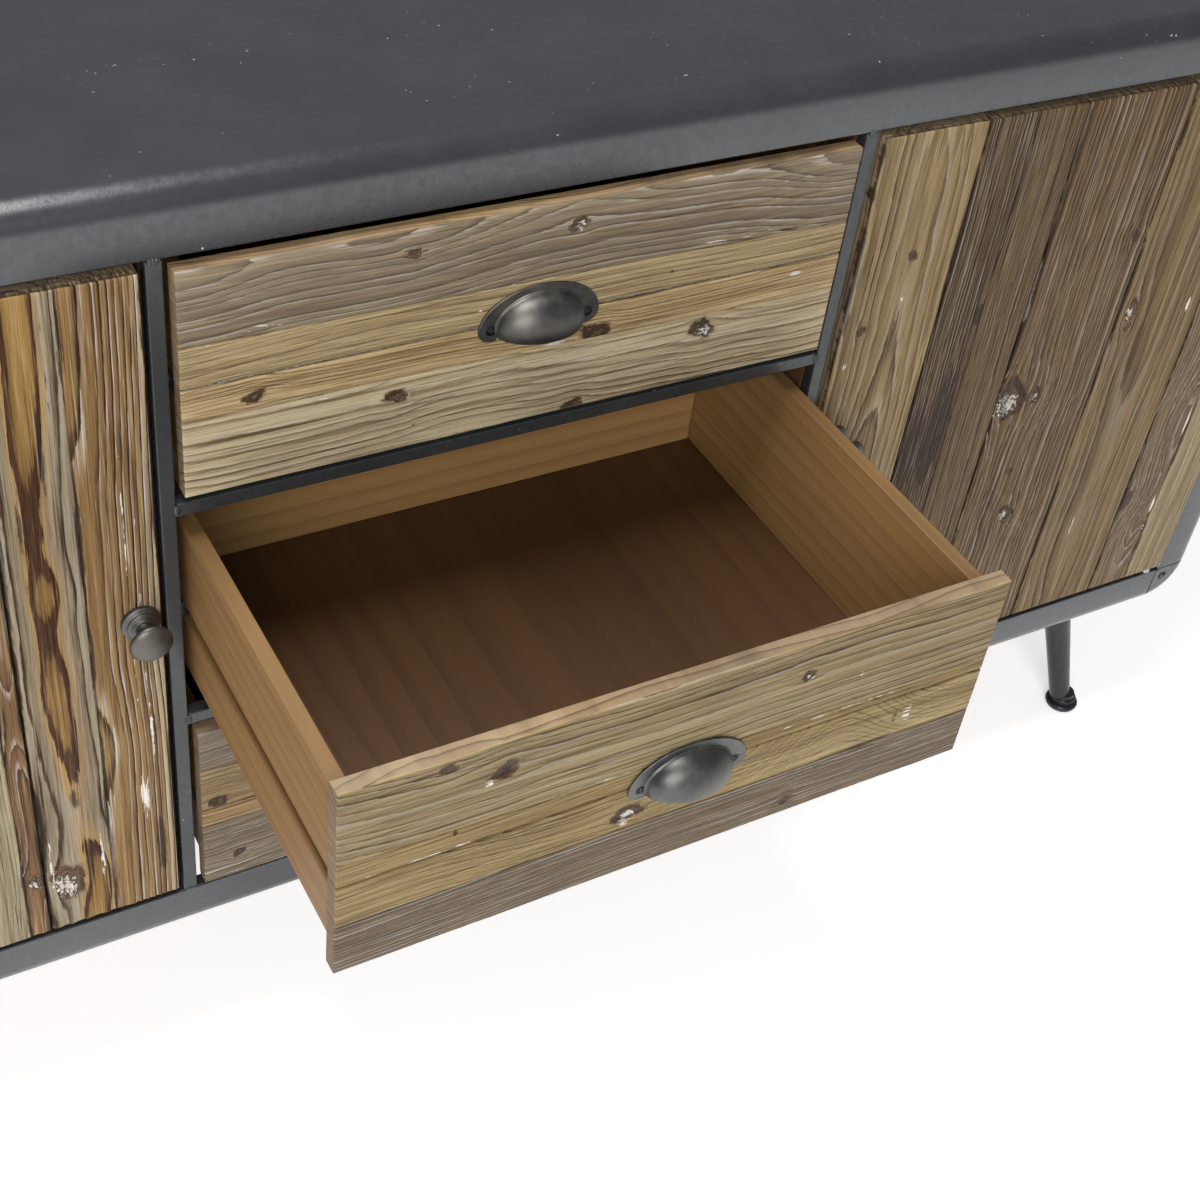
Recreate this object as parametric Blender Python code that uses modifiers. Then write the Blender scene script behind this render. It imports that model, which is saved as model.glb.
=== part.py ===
"""Sideboard buffet: a rolled sheet-steel case on four splayed legs, three drawers and two plank doors.

Metres, +Z up, +X to the right along the front, +Y into the case. The origin is on the floor, under the
middle of the whole object with its middle drawer pulled out. The case is built from the opening edges
outwards: three bays of one width, framed by a steel band that rolls over into the sides and top.
"""

import math

import bmesh
import bpy
from mathutils import Matrix, Vector

# ---------------------------------------------------------------- driving dimensions

GAP = 0.0003  # between pieces that touch

DRAWER_BAY_WIDTH = 0.460
DOOR_BAY_WIDTH = 0.460
DRAWER_OPENING = 0.168  # clear height of one drawer's opening
DRAWER_COUNT = 3
BAR = 0.010  # square bar of the uprights and drawer rails
BAND = 0.042  # steel seen from the front, from an opening's edge to the outside
ROLL = 0.017  # radius where the band rolls over
SHEET = 0.0015
FRONT_LIP = 0.010  # fold round the openings, as deep as the bars
BACK_LIP = 0.012  # fold that holds the back panel
CASE_DEPTH = 0.380
RAIL_RETURN = 0.040  # how far the bottom rails run under the case
CORNER_RELIEF = 0.0025  # notch where three folds meet

BACK_PANEL = 0.004
DIVIDER = 0.010
FLOOR_BOARD = 0.012
SHELF_BOARD = 0.012
SHELF_SETBACK = 0.045  # from the frame's face, clear of the doors' battens
SHELF_HEIGHT = 0.262  # shelf's top above the opening's lower edge

FRONT_PROUD = 0.005  # fronts and doors stand out of the frame by this
FRONT_BOARD = 0.0115
FRONT_SIDE_GAP = 0.0045
FRONT_END_GAP = 0.007  # above and below a drawer front
FRONT_SEAM = 0.077  # height of the joint between a front's two boards
SEAM = 0.0015  # depth and half width of a joint between boards

PULLED_OUT = 0.228  # the middle drawer stands open
DRAWER_BACK_GAP = 0.0312  # behind a closed drawer, to the back panel
DRAWER_BOARD = 0.010
SIDE_INSET = 0.0035  # drawer side, in from the front's edge
SIDE_ABOVE = 0.015  # drawer side's lower edge above the front's
SIDE_BELOW = 0.012  # drawer side's upper edge below the front's
DRAWER_FLOOR = 0.004
DRAWER_FLOOR_ABOVE = 0.006
DRAWER_FLOOR_IN = 0.004  # how far the floor runs into the sides
RUNNER_HEIGHT = 0.012
RUNNER_CENTRE = 0.065  # above the drawer front's lower edge
RUNNER_IN = 0.004  # how far a runner reaches into its groove
RUNNER_PLAY = 0.001
RUNNER_SETBACK = 0.022
RUNNER_END_GAP = 0.003  # a runner stops short of the closed drawer's back

DOOR_BOARD = 0.018
DOOR_SIDE_GAP = 0.0045
DOOR_TOP_GAP = 0.004
DOOR_BOTTOM_GAP = 0.010
DOOR_PLANKS = 5
BATTEN_HEIGHT = 0.055
BATTEN_BOARD = 0.010
BATTEN_FROM_END = 0.050
BATTEN_FROM_HINGE = 0.045
BATTEN_FROM_FREE_EDGE = 0.030
PIVOT_INSET = 0.008  # hinge pin, in from the door's outer edge
PIN_RADIUS = 0.0018
PIN_IN_DOOR = 0.020
PIN_COLLAR_RADIUS = 0.0045
KNOB_FROM_EDGE = 0.0135
KNOB_HEIGHT = 0.266  # above the door's lower edge
KNOB_RADIUS = 0.0135
KNOB_BASE_RADIUS = 0.0125
KNOB_LENGTH = 0.026

PULL_EAR = 0.011  # flange beyond the cup on each side, for a screw
PULL_ARCH = 0.0265  # flange's top above the screws' line
PULL_LOBE = 0.0085  # flange's bottom below the screws' line
PULL_FLANGE = 0.0018
PULL_LINE = 0.0755  # screws' line above the front's lower edge
CUP_HALF_WIDTH = 0.0305
CUP_HEIGHT = 0.0215
CUP_DEPTH = 0.019
CUP_WALL = 0.0018
CUP_DROP = 0.005  # rim below the screws' line

LEG_HEIGHT = 0.175  # floor to the case's underside
LEG_FROM_SIDE = 0.046  # foot's centre, in from the case's side
LEG_FROM_FRONT = 0.0425
LEG_SPLAY_X = 0.045  # foot further out than the leg's place at the case's underside
LEG_SPLAY_Y = 0.0285
LEG_TOP_RADIUS = 0.015
LEG_END_RADIUS = 0.010
LEG_WALL = 0.002
FOOT_RADIUS = 0.0165
FOOT_HEIGHT = 0.006
COLLAR_RADIUS = 0.0125
COLLAR_HEIGHT = 0.005
LEG_PLATE = 0.003
LEG_PLATE_SIZE = 0.060

# ---------------------------------------------------------------- worked out from them

OPENING_HEIGHT = DRAWER_COUNT * DRAWER_OPENING + (DRAWER_COUNT - 1) * BAR
HALF_CENTRE = DRAWER_BAY_WIDTH / 2
HALF_OPENING = HALF_CENTRE + BAR + DOOR_BAY_WIDTH
HALF_WIDTH = HALF_OPENING + BAND
CASE_BOTTOM = LEG_HEIGHT
OPENING_BOTTOM = CASE_BOTTOM + BAND
OPENING_TOP = OPENING_BOTTOM + OPENING_HEIGHT
CASE_TOP = OPENING_TOP + BAND

FRONT_MOST = FRONT_PROUD + PULLED_OUT + GAP + CUP_DEPTH
FACE_Y = (FRONT_MOST - CASE_DEPTH) / 2  # the frame's front face
BACK_Y = FACE_Y + CASE_DEPTH
BACK_PANEL_Y = BACK_Y - SHEET - GAP - BACK_PANEL  # the back panel's front face
FLOOR_TOP = OPENING_BOTTOM - SHEET - GAP

DRAWER_LENGTH = BACK_PANEL_Y - FACE_Y - DRAWER_BACK_GAP  # frame's face to a closed drawer's back
FRONT_WIDTH = DRAWER_BAY_WIDTH - 2 * FRONT_SIDE_GAP
FRONT_HEIGHT = DRAWER_OPENING - 2 * FRONT_END_GAP
FRONT_BACK = FRONT_BOARD - FRONT_PROUD  # a front's rear face, behind the frame's face
SIDE_OUTER = FRONT_WIDTH / 2 - SIDE_INSET
SIDE_HEIGHT = FRONT_HEIGHT - SIDE_ABOVE - SIDE_BELOW
GROOVE_DEPTH = RUNNER_IN + RUNNER_PLAY
PULL_HALF_WIDTH = CUP_HALF_WIDTH + PULL_EAR

DOOR_WIDTH = DOOR_BAY_WIDTH - 2 * DOOR_SIDE_GAP
DOOR_HEIGHT = OPENING_HEIGHT - DOOR_TOP_GAP - DOOR_BOTTOM_GAP
DOOR_BACK = DOOR_BOARD - FRONT_PROUD
PIVOT_Y = (DOOR_BACK - FRONT_PROUD) / 2
PIVOT_X = HALF_OPENING - DOOR_SIDE_GAP - PIVOT_INSET

# ---------------------------------------------------------------- scene, collections and materials

for old in list(bpy.data.objects):
    bpy.data.objects.remove(old, do_unlink=True)

PARTS = bpy.data.collections.new("sideboard")
CUTTERS = bpy.data.collections.new("cutters")
bpy.context.scene.collection.children.link(PARTS)
bpy.context.scene.collection.children.link(CUTTERS)


def material(name, colour, roughness, metallic):
    made = bpy.data.materials.new(name)
    made.use_nodes = True
    made.diffuse_color = (*colour, 1)
    shader = made.node_tree.nodes["Principled BSDF"]
    shader.inputs["Base Color"].default_value = (*colour, 1)
    shader.inputs["Roughness"].default_value = roughness
    shader.inputs["Metallic"].default_value = metallic
    return made


GUNMETAL = material("gunmetal lacquer on sheet steel", (0.060, 0.065, 0.072), 0.42, 0.55)
BAR_STEEL = material("gunmetal lacquer on bar", (0.052, 0.056, 0.062), 0.45, 0.55)
AGED_IRON = material("aged iron castings", (0.080, 0.078, 0.074), 0.38, 0.85)
RECLAIMED_FIR = material("reclaimed brushed fir", (0.330, 0.215, 0.110), 0.70, 0.0)
DRAWER_PINE = material("oiled drawer pine", (0.400, 0.230, 0.100), 0.50, 0.0)
BROWN_PLY = material("brown ply", (0.110, 0.060, 0.028), 0.60, 0.0)
BLACK_RUNNER = material("black runner", (0.012, 0.012, 0.012), 0.50, 0.0)
PIN_STEEL = material("bright pin steel", (0.450, 0.450, 0.460), 0.30, 1.0)


# ---------------------------------------------------------------- ways of making a piece


def placed(name, mesh, finish, parent=None):
    """A named sub-part in the sideboard's collection, carried by its parent empty if it moves."""
    made = bpy.data.objects.new(name, mesh)
    made.data.materials.append(finish)
    made.parent = parent
    PARTS.objects.link(made)
    return made


def block_mesh(name, low, high):
    mesh = bpy.data.meshes.new(name)
    shape = bmesh.new()
    middle = (Vector(low) + Vector(high)) / 2
    size = Vector(high) - Vector(low)
    bmesh.ops.create_cube(shape, size=1, matrix=Matrix.Translation(middle) @ Matrix.Diagonal((*size, 1)))
    shape.to_mesh(mesh)
    shape.free()
    return mesh


def block(name, low, high, finish, parent=None):
    return placed(name, block_mesh(name, low, high), finish, parent)


FACING = {
    "X": Matrix(((0, 0, 1), (1, 0, 0), (0, 1, 0))).to_4x4(),  # outline given as (y, z)
    "Y": Matrix(((1, 0, 0), (0, 0, -1), (0, 1, 0))).to_4x4(),  # outline given as (x, z)
    "Z": Matrix.Identity(4),  # outline given as (x, y)
}


def outline_mesh(name, outline, along, low, high):
    """A flat outline pushed along an axis from low to high, as a mesh with welded caps."""
    curve = bpy.data.curves.new(name, "CURVE")
    curve.dimensions = "2D"
    curve.fill_mode = "BOTH"
    curve.extrude = (high - low) / 2
    spline = curve.splines.new("POLY")
    spline.points.add(len(outline) - 1)
    for point, (first, second) in zip(spline.points, outline):
        point.co = (first, second, 0, 1)
    spline.use_cyclic_u = True
    guide = bpy.data.objects.new(name, curve)
    CUTTERS.objects.link(guide)
    graph = bpy.context.evaluated_depsgraph_get()
    mesh = bpy.data.meshes.new_from_object(guide.evaluated_get(graph))
    bpy.data.objects.remove(guide, do_unlink=True)
    middle = Vector([(low + high) / 2 if axis == along else 0 for axis in "XYZ"])
    mesh.transform(Matrix.Translation(middle) @ FACING[along])
    shape = bmesh.new()
    shape.from_mesh(mesh)
    bmesh.ops.remove_doubles(shape, verts=shape.verts, dist=1e-6)
    bmesh.ops.recalc_face_normals(shape, faces=shape.faces)
    shape.to_mesh(mesh)
    shape.free()
    return mesh


def extruded(name, outline, along, low, high, finish, parent=None):
    return placed(name, outline_mesh(name, outline, along, low, high), finish, parent)


def turned(name, profile, axis, finish, parent=None, steps=20):
    """A profile of (radius, height) points, turned about the object's own axis."""
    mesh = bpy.data.meshes.new(name)
    points = [(radius, 0, height) if axis == "Z" else (radius, height, 0) for radius, height in profile]
    edges = [(i, i + 1) for i in range(len(points) - 1)]
    mesh.from_pydata(points, edges, [])
    made = placed(name, mesh, finish, parent)
    turn = made.modifiers.new("turn", "SCREW")
    turn.axis = axis
    turn.steps = steps
    turn.render_steps = steps
    turn.use_merge_vertices = True
    turn.merge_threshold = 0.00001
    return made


def as_cutter(made):
    for owner in list(made.users_collection):
        owner.objects.unlink(made)
    CUTTERS.objects.link(made)
    made.hide_render = True
    made.display_type = "WIRE"
    return made


def cutter(name, mesh, parent=None):
    made = bpy.data.objects.new(name, mesh)
    made.parent = parent
    return as_cutter(made)


def cut(made, tool):
    change = made.modifiers.new("cut " + tool.name, "BOOLEAN")
    change.operation = "DIFFERENCE"
    change.object = tool


def join(made, other):
    change = made.modifiers.new("join " + other.name, "BOOLEAN")
    change.operation = "UNION"
    change.object = other


def bar_cutter(name, centre, radius, low, high, parent=None):
    """An upright round cutter, for a pin's hole."""
    mesh = bpy.data.meshes.new(name)
    shape = bmesh.new()
    place = Matrix.Translation((*centre, (low + high) / 2))
    bmesh.ops.create_cone(
        shape, cap_ends=True, segments=16, radius1=radius, radius2=radius, depth=high - low, matrix=place
    )
    shape.to_mesh(mesh)
    shape.free()
    return cutter(name, mesh, parent)


def eased(made, width, segments=2):
    ease = made.modifiers.new("eased edges", "BEVEL")
    ease.width = width
    ease.segments = segments
    ease.limit_method = "ANGLE"
    ease.angle_limit = math.radians(50)


def arc(centre, radius, start, end, steps):
    """Points on a round stretch, from start to end in degrees."""
    turns = [math.radians(start + (end - start) * i / steps) for i in range(steps + 1)]
    return [(centre[0] + radius * math.cos(t), centre[1] + radius * math.sin(t)) for t in turns]


def carrier(name, place):
    """The empty that a moving body's pieces hang on, on its joint's axis."""
    made = bpy.data.objects.new(name, None)
    made.location = place
    made.empty_display_size = 0.05
    PARTS.objects.link(made)
    return made


# ---------------------------------------------------------------- the bent steel band

# A profile is (distance out from the opening's edge, depth behind the frame's face).
ROLL_OVER = arc((BAND - ROLL, ROLL), ROLL, -90, 0, 6)
BACK_FOLD = [(BAND, CASE_DEPTH), (BAND - BACK_LIP, CASE_DEPTH)]
FULL_BAND = [(0, FRONT_LIP), (0, 0)] + ROLL_OVER + BACK_FOLD
SHORT_BAND = [(0, FRONT_LIP), (0, 0)] + ROLL_OVER + [(BAND, RAIL_RETURN)]
REAR_BAND = [(BAND, CASE_DEPTH - RAIL_RETURN)] + BACK_FOLD
CORNER_BAND = [(CORNER_RELIEF, 0)] + ROLL_OVER + BACK_FOLD


def thickened(made):
    shell = made.modifiers.new("sheet", "SOLIDIFY")
    shell.thickness = SHEET
    shell.offset = -1
    shell.use_even_offset = True


def bent_sheet(name, profile, outward, edge, along, low, high):
    """A folded sheet: the profile stands on an opening's edge, faces outward and runs from low to high."""
    outward = Vector(outward)
    along = Vector(along)
    mesh = bpy.data.meshes.new(name)
    shape = bmesh.new()
    line = [
        shape.verts.new(Vector(edge) + outward * out + Vector((0, back, 0)) + along * low)
        for out, back in profile
    ]
    folds = [shape.edges.new(pair) for pair in zip(line, line[1:])]
    pushed = bmesh.ops.extrude_edge_only(shape, edges=folds)
    ends = [item for item in pushed["geom"] if isinstance(item, bmesh.types.BMVert)]
    bmesh.ops.translate(shape, verts=ends, vec=along * (high - low))
    shape.normal_update()
    # The face furthest out looks outward, so that the thickness goes inward.
    outermost = max(shape.faces, key=lambda face: face.calc_center_median().dot(outward))
    if outermost.normal.dot(outward) < 0:
        bmesh.ops.reverse_faces(shape, faces=shape.faces)
    shape.to_mesh(mesh)
    shape.free()
    made = placed(name, mesh, GUNMETAL)
    thickened(made)
    return made


TOP_EDGE = (0, FACE_Y, OPENING_TOP)
BOTTOM_EDGE = (0, FACE_Y, OPENING_BOTTOM)
RUN = HALF_OPENING - GAP
top_skin = bent_sheet("top_skin", FULL_BAND, (0, 0, 1), TOP_EDGE, (1, 0, 0), -RUN, RUN)
front_rail = bent_sheet("bottom_front_rail", SHORT_BAND, (0, 0, -1), BOTTOM_EDGE, (1, 0, 0), -RUN, RUN)
bent_sheet("bottom_rear_rail", REAR_BAND, (0, 0, -1), BOTTOM_EDGE, (1, 0, 0), -RUN, RUN)
for side_name, side in (("left", -1), ("right", 1)):
    bent_sheet(
        side_name + "_side_skin",
        FULL_BAND,
        (side, 0, 0),
        (side * HALF_OPENING, FACE_Y, 0),
        (0, 0, 1),
        OPENING_BOTTOM + GAP,
        OPENING_TOP - GAP,
    )

# Each corner is the same band turned a quarter round the opening's corner.
CORNERS = (
    ("top_right_corner", 1, OPENING_TOP, 270),
    ("bottom_right_corner", 1, OPENING_BOTTOM, 0),
    ("bottom_left_corner", -1, OPENING_BOTTOM, 90),
    ("top_left_corner", -1, OPENING_TOP, 180),
)
for corner_name, side, height, turn_from in CORNERS:
    corner = turned(corner_name, list(reversed(CORNER_BAND)), "Y", GUNMETAL, steps=8)
    corner.location = (side * HALF_OPENING, FACE_Y, height)
    corner.rotation_euler.y = math.radians(turn_from)
    corner.modifiers["turn"].angle = math.radians(90)
    corner.modifiers["turn"].use_merge_vertices = False
    thickened(corner)

# ---------------------------------------------------------------- uprights, drawer rails and boards

# A divider's (y, z) outline, with its front upper corner taken off to clear the roll.
DIVIDER_FRONT = FACE_Y + max(BAR, FRONT_LIP) + GAP
DIVIDER_TOP = CASE_TOP - SHEET - GAP
DIVIDER_CHAMFER = max(FACE_Y + ROLL - DIVIDER_FRONT, GAP)
DIVIDER_SHAPE = [
    (DIVIDER_FRONT, FLOOR_TOP + GAP),
    (BACK_PANEL_Y - GAP, FLOOR_TOP + GAP),
    (BACK_PANEL_Y - GAP, DIVIDER_TOP),
    (DIVIDER_FRONT + DIVIDER_CHAMFER, DIVIDER_TOP),
    (DIVIDER_FRONT, DIVIDER_TOP - DIVIDER_CHAMFER),
]

for side_name, side in (("left", -1), ("right", 1)):
    inner = side * HALF_CENTRE
    outer = side * (HALF_CENTRE + BAR)
    block(
        side_name + "_upright",
        (min(inner, outer), FACE_Y, OPENING_BOTTOM + GAP),
        (max(inner, outer), FACE_Y + BAR, OPENING_TOP - GAP),
        BAR_STEEL,
    )
    extruded(
        side_name + "_divider",
        DIVIDER_SHAPE,
        "X",
        min(inner, inner + side * DIVIDER),
        max(inner, inner + side * DIVIDER),
        BROWN_PLY,
    )
    wall = side * (HALF_WIDTH - SHEET - GAP)
    bay_edge = side * (HALF_CENTRE + DIVIDER + GAP)
    block(
        side_name + "_bay_floor",
        (min(inner, side * (HALF_OPENING - GAP)), FACE_Y + SHEET + GAP, FLOOR_TOP - FLOOR_BOARD),
        (max(inner, side * (HALF_OPENING - GAP)), BACK_PANEL_Y - GAP, FLOOR_TOP),
        BROWN_PLY,
    )
    shelf_top = OPENING_BOTTOM + SHELF_HEIGHT
    block(
        side_name + "_shelf",
        (min(bay_edge, wall), FACE_Y + SHELF_SETBACK, shelf_top - SHELF_BOARD),
        (max(bay_edge, wall), BACK_PANEL_Y - GAP, shelf_top),
        BROWN_PLY,
    )

for rail_name, level in (("lower_drawer_rail", 1), ("upper_drawer_rail", 2)):
    rail_bottom = OPENING_BOTTOM + level * DRAWER_OPENING + (level - 1) * BAR
    block(
        rail_name,
        (-HALF_CENTRE + GAP, FACE_Y, rail_bottom),
        (HALF_CENTRE - GAP, FACE_Y + BAR, rail_bottom + BAR),
        BAR_STEEL,
    )


def rounded_frame(half_width, low, high, radius):
    """A rectangle with round corners, as (x, z) points."""
    inner = half_width - radius
    points = arc((inner, high - radius), radius, 0, 90, 8)
    points += arc((-inner, high - radius), radius, 90, 180, 8)
    points += arc((-inner, low + radius), radius, 180, 270, 8)
    points += arc((inner, low + radius), radius, 270, 360, 8)
    return points


INSIDE = SHEET + GAP
extruded(
    "back_panel",
    rounded_frame(HALF_WIDTH - INSIDE, CASE_BOTTOM + INSIDE, CASE_TOP - INSIDE, BAND - INSIDE),
    "Y",
    BACK_PANEL_Y,
    BACK_PANEL_Y + BACK_PANEL,
    BROWN_PLY,
)

# ---------------------------------------------------------------- legs: plate, tapered tube and disc foot


def leg_tube(name, foot, lean, low, high, low_radius, high_radius):
    """A tapered round bar along the leaning line through the foot's centre, between two heights."""
    mesh = bpy.data.meshes.new(name)
    shape = bmesh.new()
    slope = Vector((*lean, LEG_HEIGHT)) / LEG_HEIGHT
    start = foot + slope * low
    end = foot + slope * high
    tilt = slope.to_track_quat("Z", "X").to_matrix().to_4x4()
    bmesh.ops.create_cone(
        shape,
        cap_ends=True,
        segments=24,
        radius1=low_radius,
        radius2=high_radius,
        depth=(end - start).length,
        matrix=Matrix.Translation((start + end) / 2) @ tilt,
    )
    shape.to_mesh(mesh)
    shape.free()
    return mesh


LEG_TOP = FLOOR_TOP - FLOOR_BOARD - GAP
for end_name, end in (("front", -1), ("rear", 1)):
    for side_name, side in (("left", -1), ("right", 1)):
        leg_name = end_name + "_" + side_name + "_leg"
        foot_y = (FACE_Y + LEG_FROM_FRONT) if end < 0 else (BACK_Y - LEG_FROM_FRONT)
        foot = Vector((side * (HALF_WIDTH - LEG_FROM_SIDE), foot_y, 0))
        lean = (-side * LEG_SPLAY_X, -end * LEG_SPLAY_Y)
        collar_top = FOOT_HEIGHT + COLLAR_HEIGHT
        profile = [(0, collar_top), (COLLAR_RADIUS, collar_top), (COLLAR_RADIUS, FOOT_HEIGHT)]
        profile += [(FOOT_RADIUS, FOOT_HEIGHT), (FOOT_RADIUS, 0), (0, 0)]
        leg = turned(leg_name, profile, "Z", GUNMETAL, steps=24)
        leg.location = foot
        plate_top = foot + Vector((*lean, LEG_HEIGHT)) / LEG_HEIGHT * LEG_TOP
        half = LEG_PLATE_SIZE / 2
        tube_low = FOOT_HEIGHT + LEG_END_RADIUS * 0.3
        tube_high = LEG_TOP + LEG_TOP_RADIUS * 0.5
        tube = leg_tube(leg_name + "_tube", foot, lean, tube_low, tube_high, LEG_END_RADIUS, LEG_TOP_RADIUS)
        hollow = leg_tube(
            leg_name + "_hollow",
            foot,
            lean,
            collar_top + 2 * LEG_WALL,
            tube_high,
            LEG_END_RADIUS - LEG_WALL,
            LEG_TOP_RADIUS - LEG_WALL,
        )
        plate = block_mesh(
            leg_name + "_plate",
            (plate_top.x - half, plate_top.y - half, LEG_TOP - LEG_PLATE),
            (plate_top.x + half, plate_top.y + half, LEG_TOP),
        )
        above = block_mesh(
            leg_name + "_above",
            (plate_top.x - 2 * half, plate_top.y - 2 * half, LEG_TOP),
            (plate_top.x + 2 * half, plate_top.y + 2 * half, LEG_TOP + 2 * half),
        )
        join(leg, cutter(leg_name + "_tube", tube))
        join(leg, cutter(leg_name + "_plate", plate))
        cut(leg, cutter(leg_name + "_hollow", hollow))
        cut(leg, cutter(leg_name + "_above", above))

# ---------------------------------------------------------------- cup pull


def flange_outline():
    """The pull's back plate, about the screws' line: an arch on two round lobes, open between them."""
    half = PULL_HALF_WIDTH
    arch = [(half * math.cos(math.radians(a)), PULL_ARCH * math.sin(math.radians(a))) for a in range(0, 181, 9)]
    left = arc((-half + PULL_LOBE, 0), PULL_LOBE, 180, 270, 4)[1:]
    right = arc((half - PULL_LOBE, 0), PULL_LOBE, 270, 360, 4)[:-1]
    notch = CUP_HALF_WIDTH - CUP_WALL
    return arch + left + [(-notch, -PULL_LOBE), (-notch, 0), (notch, 0), (notch, -PULL_LOBE)] + right


def cup_mesh(name, wall):
    """The cup's whole ellipsoid, shrunk by wall, with its poles at the cup's two ends."""
    mesh = bpy.data.meshes.new(name)
    shape = bmesh.new()
    size = Matrix.Diagonal((CUP_HALF_WIDTH - wall, CUP_DEPTH - wall, CUP_HEIGHT - wall, 1))
    lying = Matrix.Rotation(math.radians(90), 4, "Y")
    bmesh.ops.create_uvsphere(shape, u_segments=24, v_segments=16, radius=1, matrix=size @ lying)
    shape.to_mesh(mesh)
    shape.free()
    return mesh


def cup_pull(name, parent):
    """A cast cup: the ellipsoid cut level below, joined to its flange, hollowed and cut flat behind."""
    pull = placed(name, cup_mesh(name, 0), AGED_IRON, parent)
    wide = 2 * PULL_HALF_WIDTH
    below = block_mesh(name + "_below", (-wide, -wide, -wide), (wide, wide, -CUP_DROP))
    behind = block_mesh(name + "_behind", (-wide, 0, -wide), (wide, wide, wide))
    flange = outline_mesh(name + "_flange", flange_outline(), "Y", -PULL_FLANGE, PULL_FLANGE)
    cut(pull, cutter(name + "_below", below, parent))
    join(pull, cutter(name + "_flange", flange, parent))
    cut(pull, cutter(name + "_hollow", cup_mesh(name + "_hollow", CUP_WALL), parent))
    cut(pull, cutter(name + "_behind", behind, parent))
    for piece in (pull, *[change.object for change in pull.modifiers]):
        piece.location = (0, -FRONT_PROUD - GAP, PULL_LINE)
    return pull


# ---------------------------------------------------------------- drawers and their runners

FRONT_FACES = (-FRONT_PROUD, FRONT_BACK)


def seamed(low, high, faces, seams):
    """A board's section from low to high, with a V joint in its first face at each seam."""
    front, back = faces
    points = [(back, low), (back, high), (front, high)]
    for seam in sorted(seams, reverse=True):
        points += [(front, seam + SEAM), (front + SEAM, seam), (front, seam - SEAM)]
    return points + [(front, low)]


def side_section(side):
    """A drawer side's section: a groove outside for the runner and one inside for the floor."""
    outer = side * SIDE_OUTER
    inner = side * (SIDE_OUTER - DRAWER_BOARD)
    groove = outer - side * GROOVE_DEPTH
    slot = inner + side * (DRAWER_FLOOR_IN + GAP)
    low = SIDE_ABOVE
    high = SIDE_ABOVE + SIDE_HEIGHT
    groove_low = RUNNER_CENTRE - RUNNER_HEIGHT / 2 - RUNNER_PLAY
    groove_high = RUNNER_CENTRE + RUNNER_HEIGHT / 2 + RUNNER_PLAY
    slot_low = SIDE_ABOVE + DRAWER_FLOOR_ABOVE - GAP
    slot_high = slot_low + DRAWER_FLOOR + 2 * GAP
    points = [(outer, low), (outer, groove_low), (groove, groove_low), (groove, groove_high)]
    points += [(outer, groove_high), (outer, high), (inner, high), (inner, slot_high)]
    return points + [(slot, slot_high), (slot, slot_low), (inner, slot_low), (inner, low)]


DRAWERS = (("upper_drawer", 2, 0), ("middle_drawer", 1, PULLED_OUT), ("lower_drawer", 0, 0))
for drawer_name, level, open_by in DRAWERS:
    front_bottom = OPENING_BOTTOM + level * (DRAWER_OPENING + BAR) + FRONT_END_GAP
    drawer = carrier(drawer_name, (0, FACE_Y - open_by, front_bottom))
    front = extruded(
        drawer_name + "_front",
        seamed(0, FRONT_HEIGHT, FRONT_FACES, [FRONT_SEAM]),
        "X",
        -FRONT_WIDTH / 2,
        FRONT_WIDTH / 2,
        RECLAIMED_FIR,
        drawer,
    )
    eased(front, 0.0008)
    for side_name, side in (("left", -1), ("right", 1)):
        extruded(
            drawer_name + "_" + side_name + "_side",
            side_section(side),
            "Y",
            FRONT_BACK + GAP,
            DRAWER_LENGTH,
            DRAWER_PINE,
            drawer,
        )
    inside = SIDE_OUTER - DRAWER_BOARD
    back_low = SIDE_ABOVE + DRAWER_FLOOR_ABOVE + DRAWER_FLOOR + GAP
    block(
        drawer_name + "_back",
        (-inside + GAP, DRAWER_LENGTH - DRAWER_BOARD, back_low),
        (inside - GAP, DRAWER_LENGTH, SIDE_ABOVE + SIDE_HEIGHT),
        DRAWER_PINE,
        drawer,
    )
    block(
        drawer_name + "_bottom",
        (-inside - DRAWER_FLOOR_IN, FRONT_BACK + GAP, SIDE_ABOVE + DRAWER_FLOOR_ABOVE),
        (inside + DRAWER_FLOOR_IN, DRAWER_LENGTH, SIDE_ABOVE + DRAWER_FLOOR_ABOVE + DRAWER_FLOOR),
        BROWN_PLY,
        drawer,
    )
    cup_pull(drawer_name + "_pull", drawer)
    for side_name, side in (("left", -1), ("right", 1)):
        fixed = side * (HALF_CENTRE - GAP)
        tip = side * (SIDE_OUTER - RUNNER_IN)
        runner_low = front_bottom + RUNNER_CENTRE - RUNNER_HEIGHT / 2
        block(
            drawer_name + "_" + side_name + "_runner",
            (min(fixed, tip), FACE_Y + RUNNER_SETBACK, runner_low),
            (max(fixed, tip), FACE_Y + DRAWER_LENGTH - RUNNER_END_GAP, runner_low + RUNNER_HEIGHT),
            BLACK_RUNNER,
        )

# ---------------------------------------------------------------- doors, their pins and knobs

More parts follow.
